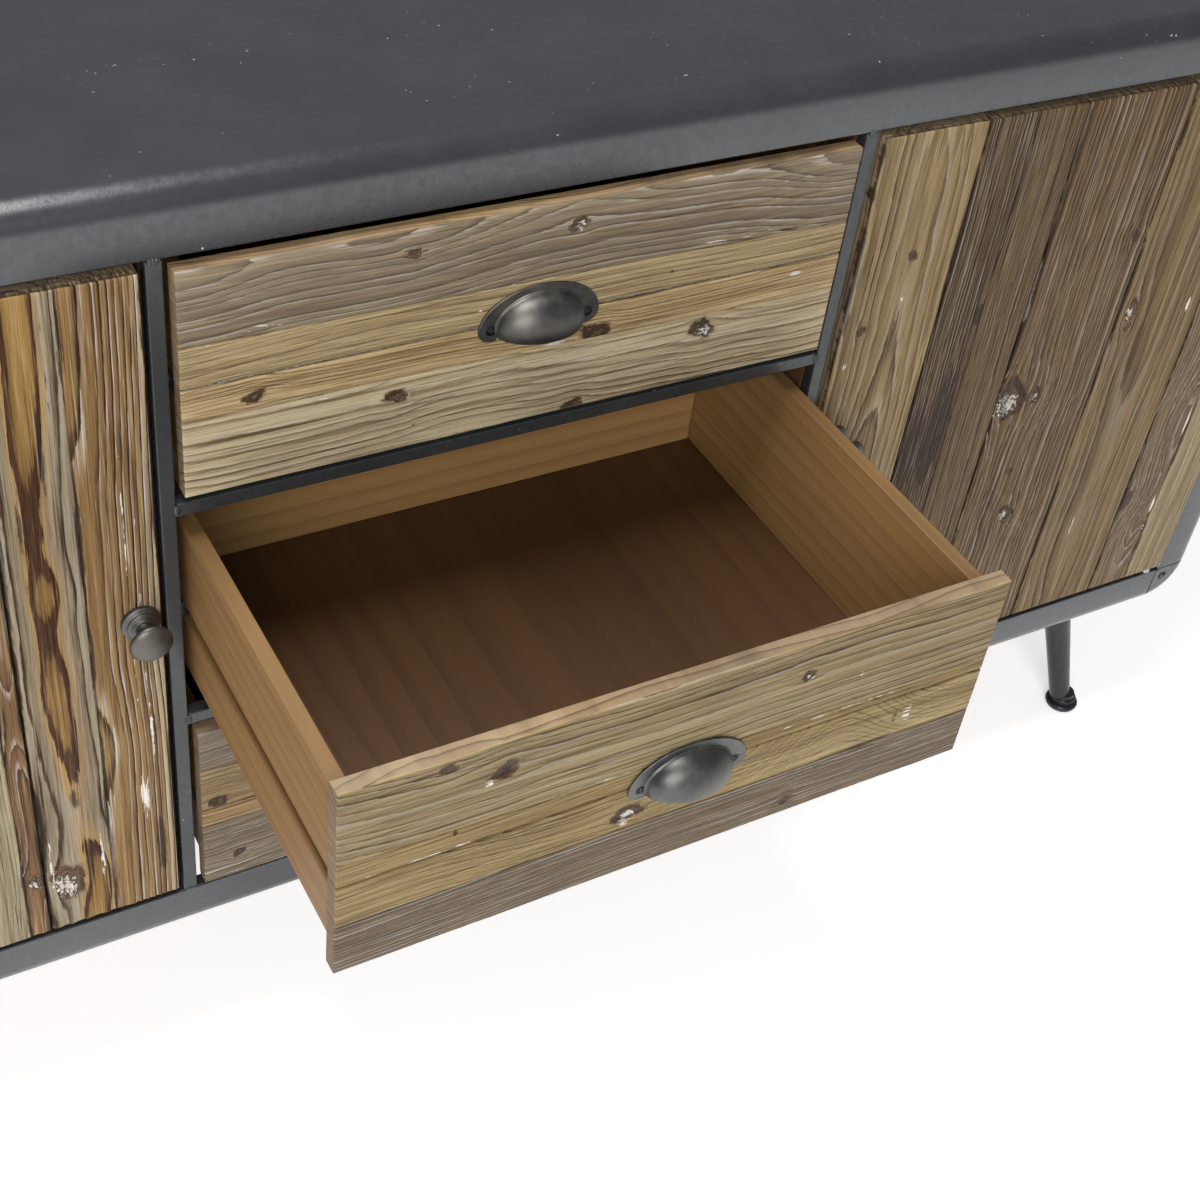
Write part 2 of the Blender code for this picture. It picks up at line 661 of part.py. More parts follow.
# A knob's profile runs from its head's crown to its base: (radius, distance off the door).
KNOB_PROFILE = [
    (0, KNOB_LENGTH),
    (KNOB_RADIUS * 0.45, KNOB_LENGTH * 0.985),
    (KNOB_RADIUS * 0.80, KNOB_LENGTH * 0.925),
    (KNOB_RADIUS, KNOB_LENGTH * 0.800),
    (KNOB_RADIUS * 0.97, KNOB_LENGTH * 0.730),
    (KNOB_RADIUS * 0.62, KNOB_LENGTH * 0.600),
    (KNOB_RADIUS * 0.42, KNOB_LENGTH * 0.430),
    (KNOB_RADIUS * 0.46, KNOB_LENGTH * 0.290),
    (KNOB_BASE_RADIUS * 0.74, KNOB_LENGTH * 0.200),
    (KNOB_BASE_RADIUS * 0.80, KNOB_LENGTH * 0.130),
    (KNOB_BASE_RADIUS, KNOB_LENGTH * 0.090),
    (KNOB_BASE_RADIUS, 0),
    (0, 0),
]


def pin_profile(gap):
    """A hinge pin from its end in the lip, past the collar that fills the gap, down into the door."""
    through = gap + SHEET - GAP / 2
    points = [(0, through), (PIN_RADIUS, through), (PIN_RADIUS, gap - GAP), (PIN_COLLAR_RADIUS, gap - GAP)]
    points += [(PIN_COLLAR_RADIUS, GAP), (PIN_RADIUS, GAP), (PIN_RADIUS, -PIN_IN_DOOR), (0, -PIN_IN_DOOR)]
    return points


for side_name, side in (("left", -1), ("right", 1)):
    door_name = side_name + "_door"
    door = carrier(door_name, (side * PIVOT_X, FACE_Y + PIVOT_Y, OPENING_BOTTOM + DOOR_BOTTOM_GAP))
    edge = side * PIVOT_INSET
    free = side * (PIVOT_INSET - DOOR_WIDTH)
    faces = (-FRONT_PROUD - PIVOT_Y, DOOR_BACK - PIVOT_Y)
    seams = [free + (edge - free) * i / DOOR_PLANKS for i in range(1, DOOR_PLANKS)]
    section = [(x, y) for y, x in seamed(min(edge, free), max(edge, free), faces, seams)]
    panel = extruded(door_name + "_panel", section, "Z", 0, DOOR_HEIGHT, RECLAIMED_FIR, door)
    hole = PIN_RADIUS + GAP
    deep = PIN_IN_DOOR + 2 * GAP
    cut(panel, bar_cutter(door_name + "_top_bore", (0, 0), hole, DOOR_HEIGHT - deep, DOOR_HEIGHT + 0.01, door))
    cut(panel, bar_cutter(door_name + "_bottom_bore", (0, 0), hole, -0.01, deep, door))
    batten_x = sorted((edge - side * BATTEN_FROM_HINGE, free + side * BATTEN_FROM_FREE_EDGE))
    for level, batten_low in (
        ("lower", BATTEN_FROM_END),
        ("upper", DOOR_HEIGHT - BATTEN_FROM_END - BATTEN_HEIGHT),
    ):
        block(
            door_name + "_" + level + "_batten",
            (batten_x[0], faces[1] + GAP, batten_low),
            (batten_x[1], faces[1] + GAP + BATTEN_BOARD, batten_low + BATTEN_HEIGHT),
            RECLAIMED_FIR,
            door,
        )
    top_pin = turned(door_name + "_top_pin", pin_profile(DOOR_TOP_GAP), "Z", PIN_STEEL, door, steps=16)
    top_pin.location.z = DOOR_HEIGHT
    bottom_pin = turned(door_name + "_bottom_pin", pin_profile(DOOR_BOTTOM_GAP), "Z", PIN_STEEL, door, steps=16)
    bottom_pin.rotation_euler.x = math.pi
    knob = turned(door_name + "_knob", KNOB_PROFILE, "Y", AGED_IRON, door, steps=24)
    knob.location = (free + side * KNOB_FROM_EDGE, faces[0] - GAP, KNOB_HEIGHT)
    knob.rotation_euler.z = math.pi
    pin_place = (side * PIVOT_X, FACE_Y + PIVOT_Y)
    top_hole = bar_cutter(door_name + "_top_lip_hole", pin_place, hole, OPENING_TOP - 0.005, OPENING_TOP + 0.005)
    low_hole = bar_cutter(door_name + "_rail_hole", pin_place, hole, OPENING_BOTTOM - 0.005, OPENING_BOTTOM + 0.005)
    cut(top_skin, top_hole)
    cut(front_rail, low_hole)

for made in PARTS.objects:
    if made.type == "MESH" and ("leg" in made.name or "knob" in made.name or "corner" in made.name):
        made.data.shade_smooth()
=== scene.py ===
"""Looks of the sideboard buffet: a rolled sheet-steel case on splayed legs, with reclaimed fir fronts."""

import math

import bmesh
import bpy
import numpy as np
from mathutils import Matrix, Vector


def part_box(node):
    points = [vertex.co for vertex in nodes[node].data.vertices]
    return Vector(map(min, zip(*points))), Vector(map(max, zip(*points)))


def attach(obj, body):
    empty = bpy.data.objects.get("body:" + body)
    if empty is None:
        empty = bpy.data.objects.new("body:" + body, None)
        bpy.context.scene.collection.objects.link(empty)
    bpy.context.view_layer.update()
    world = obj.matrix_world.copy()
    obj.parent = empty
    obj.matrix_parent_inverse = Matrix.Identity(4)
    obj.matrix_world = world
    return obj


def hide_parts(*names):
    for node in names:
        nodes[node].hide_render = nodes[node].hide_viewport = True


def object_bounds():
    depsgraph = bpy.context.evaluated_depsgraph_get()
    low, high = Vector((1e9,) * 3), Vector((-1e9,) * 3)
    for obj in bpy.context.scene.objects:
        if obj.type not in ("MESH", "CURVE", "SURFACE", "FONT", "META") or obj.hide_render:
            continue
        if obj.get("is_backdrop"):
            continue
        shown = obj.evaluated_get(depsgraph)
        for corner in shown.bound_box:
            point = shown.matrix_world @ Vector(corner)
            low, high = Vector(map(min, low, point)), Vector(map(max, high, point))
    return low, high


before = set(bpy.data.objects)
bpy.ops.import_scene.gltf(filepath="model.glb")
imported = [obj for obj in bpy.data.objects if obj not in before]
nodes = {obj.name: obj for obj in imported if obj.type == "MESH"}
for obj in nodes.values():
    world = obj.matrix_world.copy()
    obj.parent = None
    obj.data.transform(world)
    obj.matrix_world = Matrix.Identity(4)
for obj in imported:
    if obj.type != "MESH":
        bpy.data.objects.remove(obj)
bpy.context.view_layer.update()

# ---------------------------------------------------------------- rolled steel case
# The case is 1.5 mm sheet steel, folded round the openings, rolled over at the front and folded in
# behind. Straight runs meet quarter-turned pieces at the corners. It is sprayed a satin gunmetal
# lacquer, with a fine orange-peel and a few small chips.

SHEET = 0.0015
ROLL = 0.017  # radius where the band rolls over
FOLD = 0.0016  # outside radius of a tight fold
FRONT_LIP = 0.010
BACK_LIP = 0.012
RAIL_RETURN = 0.040
SEAM_TRIM = 0.0005  # each sheet stops this much short, so that a seam shows dark
STATION = 0.030  # along a straight run
WAVER = 0.00016  # how far hand-rolled sheet strays

top_low, top_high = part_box("top_skin")
left_low, left_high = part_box("left_side_skin")
right_low, right_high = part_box("right_side_skin")
rail_low, rail_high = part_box("bottom_front_rail")
FACE_Y = top_low.y
BACK_Y = top_high.y
DEPTH = BACK_Y - FACE_Y
BAND = top_high.z - top_low.z
HALF_OPENING = right_low.x
OPENING_TOP = top_low.z
OPENING_BOTTOM = rail_high.z


def paint(red, green, blue):
    """A colour given as a paint chart gives it, 0 to 255, as the linear colour that a shader takes."""
    return tuple(
        ((c / 255 + 0.055) / 1.055) ** 2.4 if c > 10 else c / 3295 for c in (red, green, blue)
    ) + (1,)


class Finish:
    """A finish on one Principled shader, built up from layers of pattern."""

    def __init__(self, name, roughness, metallic=0.0, specular=0.5):
        self.material = bpy.data.materials.new(name)
        self.material.use_nodes = True
        self.tree = self.material.node_tree
        self.shader = self.tree.nodes["Principled BSDF"]
        self.shader.inputs["Roughness"].default_value = roughness
        self.shader.inputs["Metallic"].default_value = metallic
        self.shader.inputs["Specular IOR Level"].default_value = specular

    def node(self, kind, feeds=(), **settings):
        made = self.tree.nodes.new("ShaderNode" + kind)
        for key, value in settings.items():
            setattr(made, key, value)
        for socket, value in dict(feeds).items():
            if isinstance(value, bpy.types.NodeSocket):
                self.tree.links.new(value, made.inputs[socket])
            else:
                made.inputs[socket].default_value = value
        return made

    def math(self, operation, *values):
        return self.node("Math", enumerate(values), operation=operation).outputs[0]

    def mix(self, share, under, over, blend="MIX"):
        made = self.node("Mix", {0: share, 6: under, 7: over}, data_type="RGBA", blend_type=blend)
        return made.outputs[2]

    def place(self):
        """Places on the piece, in metres, which move with it."""
        return self.node("TexCoord").outputs["Object"]

    def stretched(self, vector, scale):
        return self.node("VectorMath", {0: vector, 1: scale}, operation="MULTIPLY").outputs[0]

    def noise(self, vector, scale=1.0, detail=3.0, roughness=0.55):
        feeds = {"Vector": vector, "Scale": scale, "Detail": detail, "Roughness": roughness}
        return self.node("TexNoise", feeds).outputs[0]

    def step(self, value, low, high, start=0.0, end=1.0):
        """A smooth rise from start to end as value goes from low to high."""
        feeds = {0: value, 1: low, 2: high, 3: start, 4: end}
        return self.node("MapRange", feeds, interpolation_type="SMOOTHSTEP").outputs[0]

    def curve(self, value, stops):
        """A number read off a line through stops, each (value, number)."""
        ramp = self.node("ValToRGB", {0: value})
        ends = ramp.color_ramp.elements
        while len(ends) < len(stops):
            ends.new(0.5)
        for end, (at, number) in zip(ends, stops):
            end.position = at
            end.color = (number, number, number, 1)
        return ramp.outputs[0]

    def parts(self, vector):
        return self.node("SeparateXYZ", {0: vector}).outputs

    def colour(self, socket):
        self.tree.links.new(socket, self.shader.inputs["Base Color"])

    def rough(self, socket):
        self.tree.links.new(socket, self.shader.inputs["Roughness"])

    def relief(self, height, depth, strength=1.0):
        bump = self.node("Bump", {"Height": height, "Distance": depth, "Strength": strength})
        self.tree.links.new(bump.outputs[0], self.shader.inputs["Normal"])


def gunmetal_lacquer(name, body, chips, gloss=0.85):
    """Satin lacquer over steel: body is its colour, chips the share of small pale flecks."""
    finish = Finish(name, 0.28, metallic=0.10, specular=gloss)
    place = finish.place()
    cloud = finish.noise(place, 14.0, 4.0)
    mottle = finish.noise(place, 210.0, 3.0, 0.6)
    peel = finish.noise(place, 900.0, 2.0)
    dull = finish.mix(finish.step(cloud, 0.35, 0.68), paint(*body), paint(*[c * 1.16 for c in body]))
    mottled = finish.mix(finish.step(mottle, 0.3, 0.75, 0.0, 0.5), dull, paint(*[c * 0.72 for c in body]))
    fleck = finish.step(finish.noise(place, 330.0, 1.0), 0.86 - chips, 0.88 - chips)
    spot = finish.math("MULTIPLY", fleck, finish.step(finish.noise(place, 23.0, 2.0), 0.55, 0.7))
    finish.colour(finish.mix(spot, mottled, paint(168, 164, 156)))
    finish.rough(finish.step(mottle, 0.2, 0.8, 0.22, 0.34))
    height = finish.math("ADD", finish.math("MULTIPLY", mottle, 0.7), finish.math("MULTIPLY", peel, 0.3))
    finish.relief(height, 0.00022, 0.35)
    return finish.material


CASE_LACQUER = gunmetal_lacquer("gunmetal_lacquer", (37, 39, 43), 0.12)


def dressed(piece, finish):
    piece.data.materials.clear()
    piece.data.materials.append(finish)
    return piece


def eased(piece, width, segments=2, angle=40):
    ease = piece.modifiers.new("eased edges", "BEVEL")
    ease.width = width
    ease.segments = segments
    ease.limit_method = "ANGLE"
    ease.angle_limit = math.radians(angle)
    ease.harden_normals = True
    return piece


def made_piece(name, places, faces, finish, body, smooth_to=40):
    """A new piece from its points and faces, riding on a body, with a finish."""
    mesh = bpy.data.meshes.new(name)
    mesh.from_pydata([tuple(p) for p in places], [], faces)
    shape = bmesh.new()
    shape.from_mesh(mesh)
    bmesh.ops.remove_doubles(shape, verts=shape.verts, dist=2e-6)
    bmesh.ops.recalc_face_normals(shape, faces=shape.faces)
    shape.to_mesh(mesh)
    shape.free()
    mesh.shade_smooth()
    mesh.set_sharp_from_angle(angle=math.radians(smooth_to))
    piece = bpy.data.objects.new(name, mesh)
    bpy.context.scene.collection.objects.link(piece)
    piece.data.materials.append(finish)
    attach(piece, body)
    return piece


def arc(centre, radius, start, end, steps):
    """Points on a round stretch, from start to end in degrees."""
    turns = [math.radians(start + (end - start) * i / steps) for i in range(steps + 1)]
    return [(centre[0] + radius * math.cos(t), centre[1] + radius * math.sin(t)) for t in turns]


# A line is (distance out from the opening's edge, depth behind the frame's face).
FRONT_FOLD = [(0, FRONT_LIP)] + arc((FOLD, FOLD), FOLD, 180, 270, 4)
ROLL_OVER = arc((BAND - ROLL, ROLL), ROLL, -90, 0, 18)
DEEP_STEPS = [(BAND, ROLL + (DEPTH - ROLL - FOLD) * i / 12) for i in range(1, 12)]
BACK_FOLD = arc((BAND - FOLD, DEPTH - FOLD), FOLD, 0, 90, 4) + [(BAND - BACK_LIP, DEPTH)]
FULL_LINE = FRONT_FOLD + ROLL_OVER + DEEP_STEPS + BACK_FOLD
SHORT_LINE = FRONT_FOLD + ROLL_OVER + [(BAND, RAIL_RETURN)]
REAR_LINE = [(BAND, DEPTH - RAIL_RETURN)] + BACK_FOLD
CORNER_LINE = [(0.0022, 0)] + ROLL_OVER + DEEP_STEPS + BACK_FOLD


def sheet_section(line):
    """The closed section of a sheet whose outer face follows the line."""
    points = np.array(line, float)
    steps = np.diff(points, axis=0)
    sides = np.stack([-steps[:, 1], steps[:, 0]], 1) / np.linalg.norm(steps, axis=1)[:, None]
    normals = np.vstack([sides[:1], sides[:-1] + sides[1:], sides[-1:]])
    normals /= np.linalg.norm(normals, axis=1)[:, None]
    return np.vstack([points, (points + normals * SHEET)[::-1]])


def swept(name, section, stations, finish, body):
    """A section carried through stations, each an (origin, outward direction)."""
    places = []
    for origin, outward in stations:
        origin, outward = np.array(origin), np.array(outward)
        for out, back in section:
            p = origin + outward * out + np.array((0, back, 0))
            stray = math.sin(9 * p[0] + 4) * math.sin(13 * p[1]) + math.sin(17 * p[2] + 5 * p[0])
            places.append(p - outward * WAVER * (1 + stray / 2))
    count = len(section)
    faces = []
    for s in range(len(stations) - 1):
        for i in range(count):
            j = (i + 1) % count
            faces.append((s * count + i, s * count + j, (s + 1) * count + j, (s + 1) * count + i))
    faces.append(tuple(range(count)))
    faces.append(tuple(range((len(stations) - 1) * count, len(stations) * count)))
    return made_piece(name, places, faces, finish, body)


def straight_run(edge, outward, along, low, high):
    steps = max(2, round((high - low) / STATION))
    return [
        (np.array(edge) + np.array(along) * (low + (high - low) * i / steps), outward)
        for i in range(steps + 1)
    ]


X_AXIS, Z_AXIS = (1.0, 0.0, 0.0), (0.0, 0.0, 1.0)
RUN = top_high.x - SEAM_TRIM
SKINS = (
    ("top_skin", FULL_LINE, (0, FACE_Y, OPENING_TOP), (0, 0, 1), X_AXIS, -RUN, RUN),
    ("bottom_front_rail", SHORT_LINE, (0, FACE_Y, OPENING_BOTTOM), (0, 0, -1), X_AXIS, -RUN, RUN),
    ("bottom_rear_rail", REAR_LINE, (0, FACE_Y, OPENING_BOTTOM), (0, 0, -1), X_AXIS, -RUN, RUN),
    (
        "left_side_skin",
        FULL_LINE,
        (-HALF_OPENING, FACE_Y, 0),
        (-1, 0, 0),
        Z_AXIS,
        left_low.z + SEAM_TRIM,
        left_high.z - SEAM_TRIM,
    ),
    (
        "right_side_skin",
        FULL_LINE,
        (HALF_OPENING, FACE_Y, 0),
        (1, 0, 0),
        Z_AXIS,
        right_low.z + SEAM_TRIM,
        right_high.z - SEAM_TRIM,
    ),
)
for name, line, edge, outward, along, low, high in SKINS:
    skin = swept(
        name + "_sheet",
        sheet_section(line),
        straight_run(edge, outward, along, low, high),
        CASE_LACQUER,
        "carcass",
    )
    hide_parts(name)

CORNER_TURN = 0.0009 / BAND  # radians left off a corner at each end, for its seam
CORNERS = (("top", "left"), ("top", "right"), ("bottom", "left"), ("bottom", "right"))
for level, hand in CORNERS:
    side = 1 if hand == "right" else -1
    rise = 1 if level == "top" else -1
    centre = (side * HALF_OPENING, FACE_Y, OPENING_TOP if rise > 0 else OPENING_BOTTOM)
    turns = [CORNER_TURN + (math.pi / 2 - 2 * CORNER_TURN) * i / 24 for i in range(25)]
    stations = [(centre, (side * math.cos(t), 0, rise * math.sin(t))) for t in turns]
    name = f"{level}_{hand}_corner"
    corner = swept(
        name + "_sheet", sheet_section(CORNER_LINE), stations, CASE_LACQUER, "carcass"
    )
    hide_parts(name)

# ---------------------------------------------------------------- corner rivets
# One round-headed steel rivet holds each front corner to the bar behind it, halfway round the turn.
# Its head is lacquered with the case.

RIVET_RADIUS = 0.0042
RIVET_HEIGHT = 0.0024
RIVET_OUT = 0.0165  # from the opening's corner


def turned(name, profile, place, axis, finish, body, steps=32):
    """A profile of (radius, height) points turned about an axis through place."""
    turn = Vector(axis).to_track_quat("Z", "Y").to_matrix()
    places, faces = [], []
    for radius, height in profile:
        for k in range(steps):
            t = 2 * math.pi * k / steps
            places.append(Vector(place) + turn @ Vector((radius * math.cos(t), radius * math.sin(t), height)))
    for i in range(len(profile) - 1):
        for k in range(steps):
            m = (k + 1) % steps
            faces.append((i * steps + k, i * steps + m, (i + 1) * steps + m, (i + 1) * steps + k))
    return made_piece(name, places, faces, finish, body)


RIVET_DOME = [
    (RIVET_RADIUS * math.cos(a), RIVET_HEIGHT * math.sin(a)) for a in np.linspace(0, math.pi / 2, 8)
]
for level, hand in CORNERS:
    side = 1 if hand == "right" else -1
    rise = 1 if level == "top" else -1
    edge = OPENING_TOP if rise > 0 else OPENING_BOTTOM
    slant = RIVET_OUT * math.sqrt(0.5)
    middle = (side * (HALF_OPENING + slant), FACE_Y, edge + rise * slant)
    profile = [(0, -0.001), (RIVET_RADIUS * 1.12, -0.001), (RIVET_RADIUS * 1.12, 0.0003)] + RIVET_DOME
    turned(f"{level}_{hand}_rivet", profile, middle, (0, -1, 0), CASE_LACQUER, "carcass")

# ---------------------------------------------------------------- uprights and drawer rails
# Square steel bar, welded between the lips and sprayed with the case. The edges are slightly round
# from rolling, and each end has a small weld bead where it meets the band.

BAR_LACQUER = gunmetal_lacquer("bar_lacquer", (48, 50, 51), 0.12, gloss=0.40)
WELD_RADIUS = 0.0026
uprights = ("left_upright", "right_upright")
drawer_rails = ("upper_drawer_rail", "lower_drawer_rail")


def welded_edges(name, width, finish, segments=3):
    """A sub-part kept as it is, with its faces joined and its edges eased."""
    piece = nodes[name]
    joined = piece.modifiers.new("joined", "WELD")
    joined.merge_threshold = 0.00001
    eased(piece, width, segments)
    return dressed(piece, finish)


for name in uprights + drawer_rails:
    welded_edges(name, 0.0011, BAR_LACQUER)


def weld_bead(name, start, end, finish):
    """A short lumpy bead laid from start to end."""
    start, end = Vector(start), Vector(end)
    steps, around = 14, 12
    side = (end - start).normalized().cross(Vector((0, 1, 0)))
    places, faces = [], []
    for i in range(steps + 1):
        t = i / steps
        swell = math.sin(math.pi * t) ** 0.4 if 0 < t < 1 else 0.0
        radius = WELD_RADIUS * swell * (0.85 + 0.15 * math.sin(9 * math.pi * t))
        for k in range(around):
            a = 2 * math.pi * k / around
            off = side * math.cos(a) * radius + Vector((0, -1, 0)) * math.sin(a) * radius * 0.45
            places.append(start.lerp(end, t) + off)
    for i in range(steps):
        for k in range(around):
            m = (k + 1) % around
            faces.append((i * around + k, i * around + m, (i + 1) * around + m, (i + 1) * around + k))
    return made_piece(name, places, faces, finish, "carcass")


for name in uprights:
    low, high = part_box(name)
    weld_bead(
        name + "_top_weld", (low.x + 0.001, low.y, high.z), (high.x - 0.001, low.y, high.z), BAR_LACQUER
    )
    weld_bead(
        name + "_bottom_weld", (low.x + 0.001, low.y, low.z), (high.x - 0.001, low.y, low.z),
        BAR_LACQUER
    )
for name in drawer_rails:
    low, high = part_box(name)
    for end_name, x in (("left", low.x), ("right", high.x)):
        weld_bead(
            f"{name}_{end_name}_weld", (x, low.y, low.z + 0.001), (x, low.y, high.z - 0.001), BAR_LACQUER
        )

# ---------------------------------------------------------------- legs
# Each leg is a tapered steel tube welded to a square plate under the case, splayed outward, ending
# in a turned collar and a bell-edged disc foot on a thin plastic glide.

FOOT_RADIUS = 0.0165
LEG_TOP_RADIUS = 0.015
LEG_END_RADIUS = 0.010
PLATE_HALF = 0.030
PLATE_THICK = 0.003
LEG_LACQUER = gunmetal_lacquer("leg_lacquer", (36, 38, 42), 0.10, gloss=0.35)


def phillips_head(name, place, axis, radius, finish, body):
    """A screw's low round head with a cross recess."""
    rings, around = 14, 48
    turn = Vector(axis).to_track_quat("Z", "Y").to_matrix()
    arm, reach = radius * 0.13, radius * 0.55
    places, faces = [], []
    for i in range(rings + 1):
        r = radius * i / rings
        for k in range(around):
            t = 2 * math.pi * k / around
            x, y = r * math.cos(t), r * math.sin(t)
            height = radius * 0.16 * (1 - (r / radius) ** 2)
            in_arm = min(abs(x), abs(y)) < arm and max(abs(x), abs(y)) < reach
            places.append(Vector(place) + turn @ Vector((x, y, height - (radius * 0.34 if in_arm else 0))))
    for k in range(around):
        t = 2 * math.pi * k / around
        places.append(
            Vector(place) + turn @ Vector((radius * math.cos(t), radius * math.sin(t), -radius * 0.4))
        )
    for i in range(rings + 1):
        for k in range(around):
            m = (k + 1) % around
            faces.append((i * around + k, i * around + m, (i + 1) * around + m, (i + 1) * around + k))
    faces.append(tuple((rings + 1) * around + k for k in range(around)))
    return made_piece(name, places, faces, finish, body, 30)


def black_screw_finish():
    finish = Finish("black_screw", 0.32, metallic=0.8)
    worn = finish.noise(finish.place(), 1800.0, 2.0)
    finish.colour(finish.mix(finish.step(worn, 0.45, 0.8), paint(20, 20, 22), paint(66, 66, 68)))
    return finish.material


BLACK_SCREW = black_screw_finish()


def plate_mesh(name, middle, half, thick, radius):
    """A square plate with round corners, its top face at middle."""
    corners = []
    for turn, (sx, sy) in enumerate(((1, 1), (-1, 1), (-1, -1), (1, -1))):
        corners += arc(
            (middle.x + sx * (half - radius), middle.y + sy * (half - radius)), radius, 90 * turn,
            90 * turn + 90, 6
        )
    count = len(corners)
    places = [(x, y, middle.z) for x, y in corners] + [(x, y, middle.z - thick) for x, y in corners]
    faces = [tuple(range(count)), tuple(range(count, 2 * count))]
    faces += [(i, (i + 1) % count, (i + 1) % count + count, i + count) for i in range(count)]
    return eased(made_piece(name, places, faces, LEG_LACQUER, "carcass"), 0.0006)


for end_name in ("front", "rear"):
    for hand in ("left", "right"):
        leg_name = f"{end_name}_{hand}_leg"
        low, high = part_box(leg_name)
        outward = 1 if hand == "right" else -1
        forward = -1 if end_name == "front" else 1
        foot = Vector((
            (high.x if outward > 0 else low.x) - outward * FOOT_RADIUS,
            (low.y if forward < 0 else high.y) - forward * FOOT_RADIUS,
            0,
        ))
        head = Vector((
            (low.x if outward > 0 else high.x) + outward * PLATE_HALF,
            (high.y if forward < 0 else low.y) + forward * PLATE_HALF,
            high.z,
        ))
        lean = (head - foot).normalized()
        length = (head - foot).length
        start = 0.013
        tube = [(LEG_END_RADIUS * 0.4, start)]
        for i in range(25):
            t = i / 24
            radius = LEG_END_RADIUS + (LEG_TOP_RADIUS - LEG_END_RADIUS) * t
            tube.append((radius, start + (length - start - 0.004) * t))
        tube.append((LEG_TOP_RADIUS * 0.4, length - 0.004))
        leg = turned(leg_name + "_tube", tube, foot, lean, LEG_LACQUER, "carcass", 40)
        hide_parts(leg_name)
        bell = [(0, 0.0012), (0.0125, 0.0012), (0.0150, 0.0016)]
        bell += arc((0.0132, 0.0052), 0.0033, -60, 75, 8)
        bell += [(0.0122, 0.0087), (0.0118, 0.0096)] + arc((0.0108, 0.0117), 0.0022, -60, 90, 8)
        bell += [(0.0100, 0.0150), (0.0100, 0.0180), (0, 0.0180)]
        turned(leg_name + "_foot", bell, foot, Z_AXIS, LEG_LACQUER, "carcass", 40)
        glide = [(0, 0), (0.0108, 0), (0.0118, 0.0004), (0.0120, 0.0014), (0, 0.0014)]
        turned(leg_name + "_glide", glide, foot, Z_AXIS, BLACK_SCREW, "carcass", 32)
        plate_mesh(leg_name + "_plate", head, PLATE_HALF, PLATE_THICK, 0.006)
        for n, (sx, sy) in enumerate(((1, 1), (-1, 1), (-1, -1), (1, -1)), 1):
            spot = head + Vector((sx * 0.022, sy * 0.022, -PLATE_THICK))
            phillips_head(
                f"{leg_name}_screw_{n}", spot, (0, 0, -1), 0.0036, BLACK_SCREW, "carcass"
            )

# ---------------------------------------------------------------- boards inside the case
# Dividers, bay floors, shelves and the back are thin fir-faced board, stained brown and oiled.
# They are cut square with the edges just broken, and slide in behind the steel lips.


def planed_board(name, along, ring, light, dark, roughness=0.55, strips=None, grey=0.0, edge=0.0):
    """Planed softwood with rings round a far heart. along is the grain's axis, ring its line spacing."""
    finish = Finish(name, roughness, specular=0.35)
    parts = finish.parts(finish.place())
    order = {"X": (0, 1, 2), "Y": (1, 0, 2), "Z": (2, 0, 1)}[along]
    lengthwise, first, second = (parts[i] for i in order)
    shift = 0.0
    tone = 0.5
    if strips:
        number = finish.math("FLOOR", finish.math("DIVIDE", first, strips))
        tone = finish.node("TexWhiteNoise", {"W": number}, noise_dimensions="1D").outputs[0]
        shift = finish.math("MULTIPLY", tone, 7.0)
    grain = finish.node(
        "CombineXYZ", {0: lengthwise, 1: finish.math("ADD", first, shift), 2: second}
    ).outputs[0]
    wander = finish.noise(finish.stretched(grain, (2.2, 9.0, 9.0)), detail=2.0)
    heart = finish.math("MULTIPLY", finish.math("SUBTRACT", wander, 0.5), 0.05)
    off_first = finish.math("ADD", finish.math("SUBTRACT", first, 0.031), heart)
    off_second = finish.math("ADD", finish.math("MULTIPLY", second, 0.8), 0.043)
    across = finish.math(
        "SQRT",
        finish.math(
            "ADD", finish.math("MULTIPLY", off_first, off_first),
            finish.math("MULTIPLY", off_second, off_second)
        ),
    )
    phase = finish.math("FRACT", finish.math("DIVIDE", across, ring))
    late = finish.curve(phase, [(0.0, 0.05), (0.5, 0.15), (0.82, 0.75), (0.94, 1.0), (1.0, 0.05)])
    fibre = finish.noise(finish.stretched(grain, (26.0, 1500.0, 1500.0)), detail=4.0, roughness=0.65)
    streak = finish.noise(finish.stretched(grain, (4.0, 120.0, 120.0)), detail=3.0)
    base = finish.mix(finish.math("MULTIPLY", late, 0.75), paint(*light), paint(*dark))
    streaked = finish.mix(finish.step(streak, 0.35, 0.75, 0.0, 0.45), base, paint(*dark))
    fibred = finish.mix(finish.step(fibre, 0.35, 0.75, 0.0, 0.30), streaked, paint(*[c * 0.75 for c in dark]))
    if strips:
        fibred = finish.mix(
            finish.math("MULTIPLY", tone, 0.45), fibred, paint(*[c * 0.7 for c in dark])
        )
    if grey:
        stain = finish.step(
            finish.noise(finish.stretched(grain, (7.0, 60.0, 60.0)), detail=4.0), 0.48, 0.66, 0.0, grey
        )
        fibred = finish.mix(stain, fibred, paint(84, 80, 76))
    # edge paints the faces that point up a darker brown: a painted shade on the top edges of the boards.
    if edge:
        facing_up = finish.parts(finish.node("NewGeometry").outputs["Normal"])[2]
        fibred = finish.mix(finish.step(facing_up, 0.5, 0.9, 0.0, edge), fibred, paint(88, 66, 41))
    finish.colour(fibred)
    finish.rough(finish.step(fibre, 0.2, 0.8, roughness - 0.07, roughness + 0.10))
    finish.relief(finish.math("ADD", fibre, finish.math("MULTIPLY", late, 0.5)), 0.00025, 0.5)
    return finish.material


